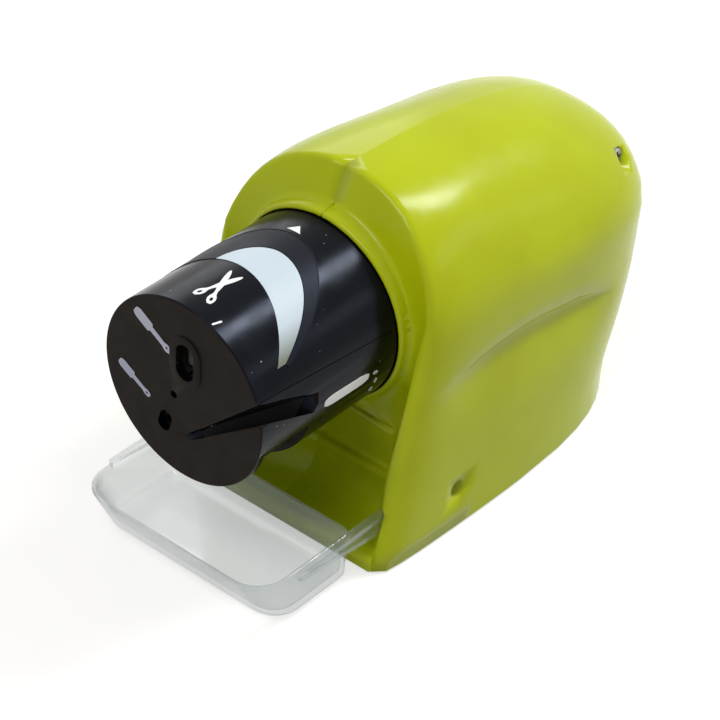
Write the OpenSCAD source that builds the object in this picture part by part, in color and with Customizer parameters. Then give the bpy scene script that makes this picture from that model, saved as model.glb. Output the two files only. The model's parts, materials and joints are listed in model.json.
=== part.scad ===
// Cordless electric knife sharpener with a turning drum head.
// Millimetres. X is to the right seen from the front, Y to the rear, Z up.
// The origin lies on the rest plane, under the plane of the collar.

/* [Housing] */

// Width over the flanks at the foot
housing_w = 88.5; // [82:0.5:96]
// Height of the crown seam over the rest plane
housing_h = 107.3; // [100:0.1:115]
// Width of the front arch
arch_w = 80.6; // [74:0.1:88]
// Width of the flanks at the waist
waist_w = 83.5; // [76:0.5:92]
// Width of the flanks at the shoulder
shoulder_w = 84; // [76:0.5:92]
// Width that the dome would have at its spring line
dome_w = 89.6; // [82:0.1:98]
// Height where the dome springs from the flanks
spring_h = 54; // [48:1:60]
// Furthest point of the back, from the collar plane
bulge_y = 120; // [110:1:130]
// Height of that furthest point
bulge_h = 70; // [60:1:80]
// Foot of the back, from the collar plane
foot_y = 108.5; // [98:0.5:118]
// Height of the foot band at the back
foot_h = 12; // [8:1:16]
// Distance of the highest point of the seam behind the collar plane
crown_y = 10; // [5:1:20]
// Lean of the front edge
lean = 14.6; // [8:0.1:20]
// Depth of the swoosh groove on each flank
groove_d = 3.2; // [1:0.1:4]
// Rounding of the front edge low down
rim_round = 3.5; // [1:0.1:5]
// Distance that the foot of each leg stands forward
toe = 2; // [0:0.5:3]
// Wall of the housing
wall = 2.4; // [1.8:0.1:3.2]
// Depth of the front cove behind the collar plane
recess_y = 5; // [3:0.5:8]
// Gap under the housing that the feet leave
foot_gap = 0.8; // [0.4:0.1:1.5]

/* [Head] */

// Radius of the drum head
head_r = 29; // [27:0.5:32]
// Height of the turning axis
axis_h = 65.4; // [62:0.1:70]
// Length of the head in front of the collar plane
head_len = 54.7; // [50:0.1:60]
// Wall of the drum
head_wall = 3.6; // [2.5:0.1:4.5]
// Gap round the drum in its collar
head_gap = 0.4; // [0.3:0.1:1]
// Width of the collar lip
lip_w = 1.4; // [1.2:0.1:2.5]
// Radius of the neck that turns in the bearing ring
neck_r = 24; // [22:0.5:25]
// Radial play of the neck in its ring
neck_play = 0.08; // [0.03:0.01:0.1]
// Radius of the grinding wheel
wheel_r = 12.6; // [11:0.1:14]
// Width of the grinding wheel
wheel_w = 8; // [6:0.5:10]
// Direction of the knife slot on the face
slot_angle = 46.3; // [30:0.1:60]
// Distance of the knife slot from the axis at its inner end
slot_off = 11.65; // [10:0.05:14]
// Width of the knife slot at its inner end
slot_w = 2.1; // [1.5:0.1:3]
// Tilt of the knife slot against the axis
slot_tilt = 16.7; // [10:0.1:25]

/* [Drive] */

// Radius of the spindle
spindle_r = 2; // [1.5:0.1:3]
// Radial play of the spindle in its bushes
spindle_play = 0.05; // [0.02:0.01:0.1]
// Radius of the motor can
motor_r = 13.85; // [12:0.05:15]
// Length of the motor can without its end cap
motor_len = 33; // [28:1:36]
// Radius of the motor shaft
shaft_r = 1.15; // [1:0.05:1.6]

/* [Battery] */

// Radius of an AA cell
cell_r = 7.25; // [7:0.05:7.25]
// Length of an AA cell over its button
cell_len = 50.5; // [49.2:0.1:50.5]

/* [Tray] */

// Furthest point of the tray in front of the collar plane
tray_front = 62.3; // [56:0.1:68]
// Rear wall of the tray in front of the collar plane
tray_back = 23.5; // [20:0.5:28]
// Width of the tray without its rails
tray_w = 71.4; // [64:0.2:74]
// Height of the rim of the tray
tray_h = 17.3; // [14:0.1:18]
// Wall of the tray
tray_wall = 1.8; // [1.2:0.1:2.5]

/* [Hidden] */

$fn = 96;

// Shape of the housing: shares and exponents without a length
closing_share = 0.376;
shoulder_share = 0.755;
seam_end_share = 0.94;
ease_share = 0.12;
foot_ease_share = 0.045;
foot_round_share = 0.55;
front_flare_share = 0.56;
top_n = 2.2;
front_dome_n = 2.29;
rear_dome_n = 1.85;
low_plan_n = 3.1;
high_plan_n = 4.1;
tuck_n = 2;
waist_n = 1.5;
leg_start_share = 0.66;
side_cove_n = 1.6;
crown_cove_n = 1.25;
leg_lining_n = 12;
side_lining_n = 2.4;
blend = 1.2;
edge_lift = 0.1;

// Rows of points up the flank and columns of points along it
low_row = 4;
ridge_row = 5;
edge_row = 11;
shoulder_row = 16;
rows = 25;
face_stop_shares = [0, 0.35, 0.66, 0.76, 0.84, 0.92];
face_cols = len(face_stop_shares);
flank_cols = 9;
cols = 20;
groove_stops = [0, 0.2, 0.4, 0.6, 0.8, 0.9, 1];
probe_share = 0.01;

// Sizes that follow from those above
cut = 1;
over = 2 * cut;
fit = 0.3;
collar_r = head_r + head_gap;
lip_r = collar_r + lip_w;
lip_y = 0.8;
lip_edge = 0.3;
lip_soft = 0.9;
opening_r = collar_r - 2;
face_y = -head_len;
seam_end_y = crown_y + (bulge_y - crown_y) * seam_end_share;
bay_w = tray_w + 4;
plate_t = 2.4;
plate_top = foot_gap + plate_t;

// Sill between the legs: floor, sweep up to the back wall, ledge and strip above it
floor_y = -19.3;
floor_t = 2;
sweep_r = 9;
strip_d = 0.6;
ledge_z = 17.4;
ledge_round = 2;
ledge_hollow = 1.5;
sill_y = recess_y - strip_d - ledge_hollow - ledge_round;
strip_top = 32;
strip_x = 26;
sill_x = 38.2;
arc_steps = 6;
tongue_y = floor_y + floor_t + fit;

// Neck, bearing ring and retainer, along the axis
disc_y = 0.6;
disc_t = 2.4;
neck_y = disc_y + disc_t;
neck_wall = 3;
neck_end = 15.6;
ring_y = 8.8;
ring_t = 6;
ring_r = 33;
ring_flange_r = 34.4;
ring_flange_t = 2;
washer_t = 0.5;
retainer_y = 15.6;
retainer_t = 1.6;
retainer_r = 29;
retainer_bore_r = 17.5;
socket_r = 37;
socket_y0 = 7;
socket_y1 = 15.2;

// Motor, coupling, spindle and wheel, along the axis
motor_y = 22;
motor_wall = 1;
cap_t = 5;
boss_r = 5;
boss_t = 1.6;
rotor_r = 8.8;
rotor_room = 6;
rotor_y0 = motor_y + rotor_room;
rotor_len = 18;
rotor_slot_w = 1.6;
rotor_slot_r = 5;
commutator_gap = 2;
magnet_over = 2;
commutator_r = 4;
magnet_r = 9.5;
cap_seat = 2;
cap_floor = 2.5;
cap_boss_t = 1.5;
coupling_y0 = 4.5;
coupling_y1 = 14.5;
coupling_r = 4.5;
shaft_in = 5.5;
spindle_y0 = -51.9;
spindle_y1 = 9.5;
wheel_y = -49.9;
hub_r = 6;
hub_flange_r = 8;
hub_flange_t = 1.2;
nut_flats_r = 3.4;
nut_in = 0.2;
nose_r = 7;
nose_y = -32;
bush_r = 4;
bush_len = 7;

// Screws
screw_r = 1.5;
screw_head_r = 2.6;
screw_head_t = 1.8;
small_screw_r = 1;
small_head_r = 1.9;
small_head_t = 1.1;
drive_r = 1.1;
drive_t = 0.9;
thread_len = 7;
pilot_play = 0.05;
hole_play = 0.25;
boss_wall = 2.6;
low_screw = [13.8, 14];
high_screw = [103, 78.6];
low_seat_x = 38.2;
high_seat_x = 25.5;
screw_grip = 10;
recess_r = 2.9;
base_screw_spots = [[27, 24], [27, 84]];
base_boss_h = 12;

// Battery pack
cell_gap = 0.35;
pack_y = 52.5;
cell_y = [pack_y - cell_r - cell_gap, pack_y + cell_r + cell_gap];
cell_z = [plate_top + 1 + cell_r, plate_top + 1 + 3 * cell_r + 2 * cell_gap];
contact_room = 2.6;
box_wall = 1.3;
box_in_x = cell_len / 2 + contact_room;
box_in_y = 2 * cell_r + 3 * cell_gap;
box_top = plate_top + 1 + 4 * cell_r + 3 * cell_gap;
door_in_x = box_in_x - 1;
door_play = 0.3;
door_t = 1.6;
door_travel = 8;
rail_w = 1.6;
rail_t = 0.7;
button_r = 2.7;
button_t = 1;

// Rocker switch in the left flank
switch_y = 58;
switch_z = 19;
switch_seat_x = 41.4;
bezel = [15, 10.5];
bezel_t = 2.2;
switch_hole = [13.2, 8.8];
switch_depth = 9;
paddle = [11, 6.4];
paddle_r = 9;
paddle_pivot_x = 40.2;
rocker_tilt = 10;
pivot_r = 1;
pivot_play = 0.08;

// Tray
tray_z = 0.6;
tray_corner = 11;
tray_back_corner = 4;
tray_draft = 8.6;
tray_side_draft = 0.7;
arm_x0 = 34.2;
arm_x1 = 37.2;
arm_wall = 1.5;
arm_z0 = 8.3;
arm_z1 = 17;
arm_end = 9;
rail_z = 14.4;
rail_y = -47;
web_x = 35.8;
web_gap = 0.5;
channel_gap = 0.5;
channel_end = arm_end + 2;

// Leads: radius, sides and bends
lead_r = 0.8;
lead_sides = 8;
lead_steps = 3;
lead_ref = [0.3, 0.4, -1];
tab_y = 3;
tab_top = 21;
positive_path = [[-29.35, 44, 26], [-31.5, 44.5, 26.5], [-33.5, 48, 27.5], [-33, 53, 26], [-31.6, 55, 23.5],
    [-31.6, 55, 21.15]];
motor_path = [[-31.6, 61, 21.15], [-31.6, 61.5, 24], [-32, 66, 32], [-28, 72, 44], [-18, 76, 56],
    [-9, 73, 63], [-8, 68, 65.2], [-8, 64, 65.4]];
negative_path = [[29.35, 44, 26], [31.5, 44.5, 27], [32, 52, 33], [30, 64, 42], [22, 74, 54], [9, 73, 63],
    [8, 68, 65.2], [8, 64, 65.4]];
terminal_y = motor_y + motor_len + cap_t;
terminal_x = 8;
terminal_len = 4;
terminal_w = 3;
terminal_t = 0.6;

// Bracket of the motor
bracket_x = 34.5;
bracket_t = 1.6;
bracket_y = motor_y - bracket_t;
bracket_low = 15.6;
bracket_high = 13.6;
bracket_z = [axis_h - bracket_low, axis_h + bracket_high];
bracket_seat_step = 0.6;
bracket_rib_front = 4.5;
bracket_rib_room = 2;
vent_x = 22;
vent_r = 4;
motor_screw_x = 8;

// Feet and base plate
mat_x = 26;
mat_y = -5;
mat_r = 8;
pad_spot = [20, 94];
pad_r = 5.5;
foot_in = 1;
head_sink = 1.2;
channel_block_y = channel_end + wall;

// Contacts and springs of the battery pack
contact_t = 0.4;
contact_size = 11;
dimple_r = 3;
spring_wire = 0.35;
spring_r0 = 4.6;
spring_r1 = 3;
spring_turns = 2.5;
spring_steps = 12;
spring_sides = 6;

// Openings and inserts of the head
face_t = 2.4;
edge_round = 0.5;
seat_r = 26.8;
seat_play = 0.1;
boss_ring_r = 23;
head_boss_r = 3;
head_boss_len = 10;
head_boss_turns = [60, 180, 300];
neck_boss_ring_r = 20;
neck_boss_r = 2.2;
neck_boss_turns = [0, 120, 240];
boss_root = 0.5;
boss_drop = 0.4;
slot_start = -8.9;
slot_fan = 0.12;
slot_spread = 0.054;
slot_back = -32;
slot_back_s = 19;
slot_far = 40;
slot_front_run = 8;
guide_wall = 1.2;
guide_play = 0.1;
guide_r = head_r - head_wall - guide_play;
guide_front = -52.2;
guide_back = -30.8;
wheel_room = 0.5;
driver_a = [1.4, 7.9];
driver_b = [1.4, 13.1];
driver_r = 3.2;
driver_rim = 2.4;
driver_rim_t = 0.4;
pick_a = [-6.3, -12];
pick_b = [-7.1, -14.6];
pick_r = 2.2;
pin_spot = [-3.2, -2.6];
pin_hole_r = 1.2;
driver_guide_t = 1.7;
driver_guide_r = 20;
nut_room_r = 5;
window_y = [-52, -34];
window_top = -8.5;
window_d = 2;
chute_x = 7;
chute_y = [-51, -36];

// Marks printed on the head, as turns about its axis and distances from the collar plane
print_t = 0.12;
print_gap = 0.05;
mark_gap = 0.2;
band_turn = 62;
crescent_turns = [-17.9, 59.4];
band_steps = 24;
band_front = 10.1;
band_arch = 26.5236;
band_tip = 3.9;
band_tip_n = 8;
band_back = 31;
band_back_arch = 12.6852;
band_lean_turn = 4;
crescent_top_turn = 6.5;
crescent_start = 31.7;
crescent_rise = 12.9;
crescent_rise_turn = 24.5;
crescent_rise_n = 1.8;
crescent_fall = 22.2;
crescent_fall_turn = 53;
crescent_fall_n = 2.15;

// Helpers
function mix(a, b, t) = a + (b - a) * t;
function clamp01(t) = max(0, min(1, t));
function smooth(t) = let (c = clamp01(t)) c * c * (3 - 2 * c);
function arc_ease(t) = let (c = clamp01(t)) sqrt(1 - (1 - c) * (1 - c));
function quad(w, n) = pow(max(0, 1 - pow(clamp01(w), n)), 1 / n);
function soft_min(a, b) = let (h = clamp01(0.5 + 0.5 * (b - a) / blend)) mix(b, a, h) - blend * h * (1 - h);

// Lines of the housing seen from the side
function front_y(z) = (z - axis_h) * tan(lean);
function seam_y(u) = mix(front_y(housing_h), seam_end_y, u);
function seam_z(u) = bulge_h + (housing_h - bulge_h) * quad((seam_y(u) - crown_y) / (bulge_y - crown_y),
    top_n);
function rear_y(z) = z > bulge_h
    ? crown_y + (bulge_y - crown_y) * quad((z - bulge_h) / (housing_h - bulge_h), top_n)
    : mix(foot_y, bulge_y, 1 - pow(1 - clamp01((z - foot_h) / (bulge_h - foot_h)), tuck_n));
function swell(b) = rear_y(b * seam_z(1)) - mix(foot_y, seam_end_y, b);
function toe_y(u, b) = toe * pow(1 - u, 8) * (1 - smooth(b / 0.2));
function side_y(u, b) = mix(mix(front_y(0), foot_y, u), seam_y(u), b) + pow(u, 4) * swell(b) - toe_y(u, b);

// Half width of the housing: u runs from front to back, b from foot to seam
function closing(u, b) = quad((u - closing_share) / (1 - closing_share),
    mix(low_plan_n, high_plan_n, smooth(b / 0.5)));
function flare(u) = mix(front_flare_share, 1, smooth(u / 0.45));
function mid_w(u, z) = z < spring_h
    ? mix(waist_w, housing_w, flare(u) * pow((spring_h - z) / spring_h, waist_n))
    : mix(waist_w, shoulder_w, (z - spring_h) / (bulge_h - spring_h));
function rounding(b) = rim_round * mix(foot_round_share, 1, smooth(b / 0.3)) * (1 - smooth((b - 0.6) / 0.25));
function ease(b) = mix(foot_ease_share, ease_share, smooth(b / 0.3));
function flank(u, b, z) = mix(arch_w / 2 + edge_lift - rounding(b), mid_w(u, z) / 2, arc_ease(u / ease(b)));
function dome(u, z, top) = mix(arch_w, dome_w, arc_ease(u / 0.5)) / 2
    * quad((z - spring_h) / (top - spring_h), mix(front_dome_n, rear_dome_n, smooth(u / 0.5)));
function ridge_share(u) = 0.28 + 0.03 * clamp01(u / 0.3);
function edge_share(u) = 0.54 - (u < 0.42 ? 0.2 : 0.5) * pow(u - 0.42, 2);
function groove_reach(u) = smooth(u / 0.35) * (1 - smooth((u - 0.68) / 0.1));
function groove_form(t) = t <= 0 || t >= 1 ? 0 : t < 0.8 ? pow(t / 0.8, 1.4) : 1 - smooth((t - 0.8) / 0.2);
function groove(u, b) = let (t = (b - ridge_share(u)) / (edge_share(u) - ridge_share(u)))
    groove_d * groove_reach(u) * groove_form(t);
function plain_w(u, b) = let (z = b * seam_z(u))
    closing(u, b) * soft_min(dome(u, z, seam_z(u)), flank(u, b, z));
function plain(u, b) = [b >= 1 || u >= 1 ? 0 : plain_w(u, b), side_y(u, b), b * seam_z(u)];
function skin(u, b) = let (p = plain(u, b))
    [max(0, p[0] - (p[0] > 0 ? closing(u, b) * groove(u, b) : 0)), p[1], p[2]];

// Inner side of the wall: the plain form moved in along its own normal
function normal(u, b) = let (
    along = plain(min(1, u + probe_share), b) - plain(max(0, u - probe_share), b),
    up = plain(u, min(1, b + probe_share)) - plain(u, max(0, b - probe_share)),
    n = cross(along, up)) n / norm(n);
function behind_groove(b) = smooth((b - 0.2) / 0.08) * (1 - smooth((b - 0.56) / 0.08));
function backing(u, b) = wall + groove_d * groove_reach(u) * behind_groove(b);
function lining(u, b) = let (p = plain(u, b) - backing(u, b) * normal(u, b))
    [b >= 1 || u >= 1 ? -cut : max(cut, p[0]), p[1] + 2 * wall * (1 - smooth(u / 0.1)), p[2]];

// Grid of the skin and of the lining
function foot_share(u) = foot_h / seam_z(u);
function row_share(k, u) =
    k <= 2 ? mix(foot_gap / seam_z(u), foot_share(u), k / 2) :
    k <= ridge_row ? mix(foot_share(u), ridge_share(u), (k - 2) / (ridge_row - 2)) :
    k <= edge_row ? mix(ridge_share(u), edge_share(u), groove_stops[k - ridge_row]) :
    k <= shoulder_row ? mix(edge_share(u), shoulder_share, (k - edge_row) / (shoulder_row - edge_row)) :
    k >= rows ? 1 : mix(shoulder_share, 1, sin(90 * (k - shoulder_row) / (rows - shoulder_row)));
function col_share(i) =
    i <= 3 ? mix(0, ease_share, pow(i / 3, 1.5)) :
    i <= flank_cols ? mix(ease_share, closing_share + 0.1, (i - 3) / (flank_cols - 3)) :
    i >= cols ? 1 :
    let (a = asin(pow(0.1 / (1 - closing_share), high_plan_n / 2)))
    closing_share + (1 - closing_share) * pow(sin(mix(a, 90, (i - flank_cols) / (cols - flank_cols))),
        2 / high_plan_n);
function rim_point(k, inside) = let (b = row_share(k, 0)) inside ? lining(0, b) : skin(0, b);
function rim_angle(k) = let (p = skin(0, row_share(k, 0))) atan2(p[0], p[2] - axis_h);
function collar_angle(k) = let (a = rim_angle(k)) k >= rows ? 0
    : a + (180 - rim_angle(low_row)) * pow(a / rim_angle(low_row), 4);
function collar_point(k, inside) = let (y = recess_y + (inside ? wall : 0), f = collar_angle(k),
    edge = inside ? -cut : 0)
    k < low_row ? [edge, y, mix(foot_gap, axis_h - opening_r, k / low_row)] :
    k == low_row ? [edge, y, axis_h - opening_r] :
    k == rows ? [edge, y, axis_h + opening_r] :
    [opening_r * sin(f), y, axis_h + opening_r * cos(f)];
function above_legs(k) = smooth((k - 6) / 7);
function side_sweep(v, k) = pow(v, mix(side_cove_n, crown_cove_n, smooth((k - shoulder_row) / 6)));
function leg_sweep(v) = smooth((v - leg_start_share) / (1 - leg_start_share));
function outer_sweep(v, k) = mix(leg_sweep(v), side_sweep(v, k), above_legs(k));
function inner_sweep(v, k) = pow(v, mix(leg_lining_n, side_lining_n, above_legs(k)));
function cove(v, k, inside) = let (
    a = collar_point(k, inside),
    b = rim_point(k, inside),
    forward = v >= 1 ? 1 : inside ? inner_sweep(v, k) : outer_sweep(v, k))
    [mix(a[0], b[0], v), mix(a[1], b[1], forward), mix(a[2], b[2], v)];
function dropped(p, k, inside) = inside && k == 0 ? [p[0], p[1], -cut] : p;
function column(i, inside) = [for (k = [0 : rows]) dropped(
    i < 0 ? cove(face_stop_shares[i + face_cols], k, inside) :
    inside ? lining(col_share(i), row_share(k, col_share(i)))
        : skin(col_share(i), row_share(k, col_share(i))),
    k, inside)];

// One half of the housing as a solid, or of the room inside it: the sheet, closed by a fan of faces at the
// seam, at the collar and at the foot
function fan(hub, loop) = [for (i = [0 : len(loop) - 1]) [hub, loop[i], loop[(i + 1) % len(loop)]]];

module half_form(inside) {
    up = rows + 1;
    last = face_cols + cols;
    sheet_points = [for (i = [-face_cols : cols]) each column(i, inside)];
    edge = inside ? -cut : 0;
    hubs = [[edge, foot_y / 2, bulge_h], [opening_r / 2, recess_y + (inside ? wall : 0), axis_h],
        [arch_w / 4, foot_y / 2, inside ? -cut : foot_gap]];
    hub = len(sheet_points);
    sheet = [for (i = [0 : last - 1]) for (k = [0 : rows - 1]) each
        [[i * up + k, i * up + k + 1, (i + 1) * up + k + 1],
            [i * up + k, (i + 1) * up + k + 1, (i + 1) * up + k]]];
    seam_loop = concat([for (k = [0 : rows]) last * up + k], [for (i = [last - 1 : -1 : 0]) i * up + rows],
        [for (k = [low_row : -1 : 0]) k]);
    collar_loop = concat([low_row], [for (k = [rows : -1 : low_row + 1]) k]);
    foot_loop = [for (i = [0 : last]) i * up];
    polyhedron(points = concat(sheet_points, hubs),
        faces = concat(sheet, fan(hub, seam_loop), fan(hub + 1, collar_loop), fan(hub + 2, foot_loop)));
}

// Pieces that are turned about the axis of the head
module turned(profile) {
    translate([0, 0, axis_h]) rotate([-90, 0, 0]) rotate_extrude() polygon(profile);
}

module half_turned(profile) {
    translate([0, 0, axis_h]) rotate([-90, 0, 0]) rotate([0, 0, -90]) rotate_extrude(angle = 180)
        polygon(profile);
}

module rod(r, y0, y1) {
    translate([0, y0, axis_h]) rotate([-90, 0, 0]) cylinder(r = r, h = y1 - y0);
}

module facing(y0, t) {
    translate([0, y0 + t, axis_h]) rotate([90, 0, 0]) linear_extrude(t) children();
}

module block(x, y, z) {
    translate([x[0], y[0], z[0]]) cube([x[1] - x[0], y[1] - y[0], z[1] - z[0]]);
}

module cross_rod(spot, r, x0, x1) {
    translate([x0, spot[0], spot[1]]) rotate([0, 90, 0]) cylinder(r = r, h = x1 - x0);
}

module capsule(a, b, r) {
    d = (b - a) / norm(b - a);
    s = [-d[1], d[0]] * r;
    union() {
        translate(a) circle(r);
        translate(b) circle(r);
        polygon([a + s, b + s, b - s, a - s]);
    }
}

// Ribs, bosses and sockets inside one half
module half_ribs() {
    block([arm_x0 - channel_gap - wall, housing_w / 2 + cut], [2 * front_y(0), channel_end + wall],
        [-over, arm_z1 + channel_gap + wall]);
    half_turned([[collar_r, socket_y0 - cut], [socket_r, socket_y0 - cut], [socket_r, socket_y1],
        [collar_r, socket_y1]]);
    block([retainer_r + bracket_rib_room, housing_w / 2 + cut],
        [motor_y - bracket_rib_front, motor_y + boss_t],
        [bracket_z[0] + bracket_seat_step, bracket_z[1] - bracket_seat_step]);
    for (s = base_screw_spots) {
        translate([s[0], s[1], plate_top]) cylinder(r = screw_r + boss_wall, h = base_boss_h);
        block([s[0], housing_w / 2 + cut], [s[1] - wall / 2, s[1] + wall / 2],
            [plate_top, plate_top + base_boss_h - cut]);
    }
    cross_rod(low_screw, screw_r + boss_wall, -over, housing_w / 2 + cut);
    cross_rod(high_screw, screw_r + boss_wall, -over, housing_w / 2 + cut);
}

// Floor between the legs, swept up to a ledge on the back wall
function arc_points(c, r, a0, a1, first = 0) = [for (i = [first : arc_steps])
    let (a = mix(a0, a1, i / arc_steps)) c + r * [cos(a), sin(a)]];

module sill() {
    back = recess_y + wall / 2;
    floor_z = plate_top + floor_t;
    strip_y = recess_y - strip_d;
    hollow_y = strip_y - ledge_hollow;
    outline = concat(
        [[back, foot_gap], [back, ledge_z + ledge_hollow]],
        arc_points([hollow_y, ledge_z + ledge_hollow], ledge_hollow, 0, -90),
        arc_points([hollow_y, ledge_z - ledge_round], ledge_round, 90, 180, 1),
        arc_points([sill_y - sweep_r, floor_z + sweep_r], sweep_r, 0, -90),
        arc_points([floor_y + floor_t, floor_z - floor_t], floor_t, 90, 180),
        [[floor_y, foot_gap]]);
    rotate([90, 0, 90]) linear_extrude(sill_x) polygon(outline);
    block([0, strip_x], [strip_y, back], [ledge_z, strip_top]);
}

// Room for the parts that the halves hold
module half_rooms() {
    block([arm_x0 - channel_gap, bay_w / 2], [2 * front_y(0), channel_end],
        [arm_z0 - channel_gap, arm_z1 + channel_gap]);
    block([-cut, bay_w / 2], [floor_y + floor_t, recess_y + wall + cut], [-cut, plate_top]);
    rod(collar_r, -cut, socket_y1 + cut);
    half_turned([[0, ring_y], [ring_r, ring_y], [ring_r, ring_y + ring_t / 2 - ring_flange_t / 2],
        [ring_flange_r, ring_y + ring_t / 2 - ring_flange_t / 2],
        [ring_flange_r, ring_y + ring_t / 2 + ring_flange_t / 2],
            [ring_r, ring_y + ring_t / 2 + ring_flange_t / 2], [ring_r, socket_y1 + cut],
            [0, socket_y1 + cut]]);
    block([retainer_r + bracket_rib_room - cut, bracket_x + pilot_play],
        [bracket_y - pilot_play, bracket_y + bracket_t + pilot_play],
        [bracket_z[0] - cut, bracket_z[1] + cut]);
    for (s = base_screw_spots) translate([s[0], s[1], -cut])
        cylinder(r = screw_r + pilot_play, h = plate_top + base_boss_h);
}

module half_shell() {
    difference() {
        union() {
            difference() {
                half_form(false);
                difference() {
                    half_form(true);
                    half_ribs();
                }
            }
            half_turned([
                [collar_r - cut, recess_y + wall], [collar_r - cut, lip_y + lip_edge],
                [collar_r + lip_edge, lip_y],
                [lip_r - lip_soft, lip_y], [lip_r - lip_edge, lip_y + lip_edge], [lip_r, lip_y + lip_soft],
                [lip_r + 2 * lip_edge, recess_y + wall]]);
            sill();
        }
        half_rooms();
    }
}

module housing_right() {
    color("#b4c62c") difference() {
        half_shell();
        cross_rod(low_screw, screw_r + hole_play, -cut, housing_w);
        cross_rod(low_screw, recess_r, low_seat_x, housing_w);
        cross_rod(high_screw, screw_r + hole_play, -cut, housing_w);
        cross_rod(high_screw, recess_r, high_seat_x, housing_w);
    }
}

module housing_left() {
    color("#b4c62c") mirror([1, 0, 0]) difference() {
        half_shell();
        cross_rod(low_screw, screw_r + pilot_play, -cut, screw_grip + cut);
        cross_rod(high_screw, screw_r + pilot_play, -cut, screw_grip + cut);
        translate([0, switch_y, switch_z]) {
            block([housing_w / 4, housing_w], [-switch_hole[0] / 2, switch_hole[0] / 2],
                [-switch_hole[1] / 2, switch_hole[1] / 2]);
            block([switch_seat_x, housing_w], [-bezel[0] / 2 - pilot_play, bezel[0] / 2 + pilot_play],
                [-bezel[1] / 2 - pilot_play, bezel[1] / 2 + pilot_play]);
        }
    }
}

// Screws that run along X, Y or Z with a cross recess in the head
module screw_form(r, head, len, grip) {
    difference() {
        union() {
            translate([0, 0, -head[1]]) cylinder(r = head[0], h = head[1]);
            cylinder(r = r, h = len);
        }
        for (turn = [0, 90]) rotate([0, 0, turn]) translate([-head[0] / 2, -grip / 2, -head[1] - cut])
            cube([head[0], grip, cut + head[1] / 2]);
    }
}

module housing_screws() {
    color("#9a9ea2") {
        translate([low_seat_x, low_screw[0], low_screw[1]]) rotate([0, -90, 0])
            screw_form(screw_r, [screw_head_r, screw_head_t], low_seat_x + screw_grip, screw_r / 2);
        translate([high_seat_x, high_screw[0], high_screw[1]]) rotate([0, -90, 0])
            screw_form(screw_r, [screw_head_r, screw_head_t], high_seat_x + screw_grip, screw_r / 2);
    }
}

// Base plate, feet and battery door
function foot_line() = [for (i = [0 : cols]) let (p = lining(col_share(i), foot_gap / seam_z(col_share(i))))
    if (p[1] > channel_block_y + fit && i < cols) [p[0] - fit, p[1]]];
function foot_start() = let (line = foot_line()) [line[0][0], channel_block_y + fit];

module base_outline() {
    line = foot_line();
    side = concat([[bay_w / 2 - fit, tongue_y], [bay_w / 2 - fit, recess_y + wall + cut - fit],
        [arm_x0 - channel_gap - wall - fit, recess_y + wall + cut - fit],
        [arm_x0 - channel_gap - wall - fit, channel_block_y + fit], foot_start()], line,
            [[0, foot_y - wall - fit]]);
    polygon(concat(side, [for (i = [len(side) - 2 : -1 : 0]) [-side[i][0], side[i][1]]]));
}

door_x = door_in_x - door_play;
door_y = [pack_y - box_in_y + fit, pack_y + box_in_y - fit];
tongue_w = 1.2;
tongue_z = [foot_gap + 0.6, foot_gap + 1.3];
tongue_len = 7;
tongue_at = [door_y[0] + 3, door_y[0] + 19];

module base_plate() {
    color("#a3b426") difference() {
        translate([0, 0, foot_gap]) linear_extrude(plate_t) base_outline();
        translate([0, 0, foot_gap - cut]) linear_extrude(cut + foot_in) feet_outline(pilot_play);
        block([-door_in_x, door_in_x], [door_y[0] - door_play, door_y[1] + door_play],
            [-cut, plate_top + cut]);
        block([-door_in_x, door_in_x], [door_y[0], door_y[1] + door_travel + door_play],
            [-cut, foot_gap + door_t + door_play / 2]);
        for (s = [-1, 1]) {
            block([min(0, s * (door_in_x + tongue_w)), max(0, s * (door_in_x + tongue_w))],
                [door_y[0], door_y[1] + door_travel],
                [tongue_z[0] - door_play / 2, tongue_z[1] + door_play / 2]);
            for (y = tongue_at)
                block([min(0, s * (door_in_x + tongue_w)), max(0, s * (door_in_x + tongue_w))],
                    [y + door_travel - door_play, y + door_travel + tongue_len + door_play],
                    [-cut, tongue_z[1]]);
            for (p = base_screw_spots) translate([s * p[0], p[1], 0]) {
                translate([0, 0, -cut]) cylinder(r = screw_r + hole_play, h = plate_top + over);
                translate([0, 0, -cut])
                    cylinder(r = screw_head_r + hole_play, h = cut + foot_gap + head_sink);
            }
        }
    }
}

module feet_outline(play) {
    translate([-mat_x - play, mat_y - mat_r - play]) square([2 * mat_x + 2 * play, 2 * mat_r + 2 * play]);
    for (s = [-1, 1]) translate([s * pad_spot[0], pad_spot[1]]) circle(pad_r + play);
}

module rubber_feet() {
    color("#26282a") linear_extrude(foot_gap + foot_in) feet_outline(0);
}

module base_screws() {
    color("#9a9ea2") for (s = [-1, 1]) for (p = base_screw_spots)
        translate([s * p[0], p[1], foot_gap + head_sink])
            screw_form(screw_r, [screw_head_r, head_sink], base_boss_h, screw_r / 2);
}

module battery_door() {
    color("#a3b426") difference() {
        union() {
            block([-door_x, door_x], door_y, [foot_gap, foot_gap + door_t]);
            for (s = [-1, 1]) for (y = tongue_at)
                block([min(0, s * (door_x + tongue_w)), max(0, s * (door_x + tongue_w))],
                [y, y + tongue_len], tongue_z);
        }
        for (i = [0 : 3]) block([-contact_size, contact_size],
            [door_y[1] - 3 - 2 * i, door_y[1] - 2 - 2 * i], [-cut, foot_gap + 0.4]);
    }
}

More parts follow.
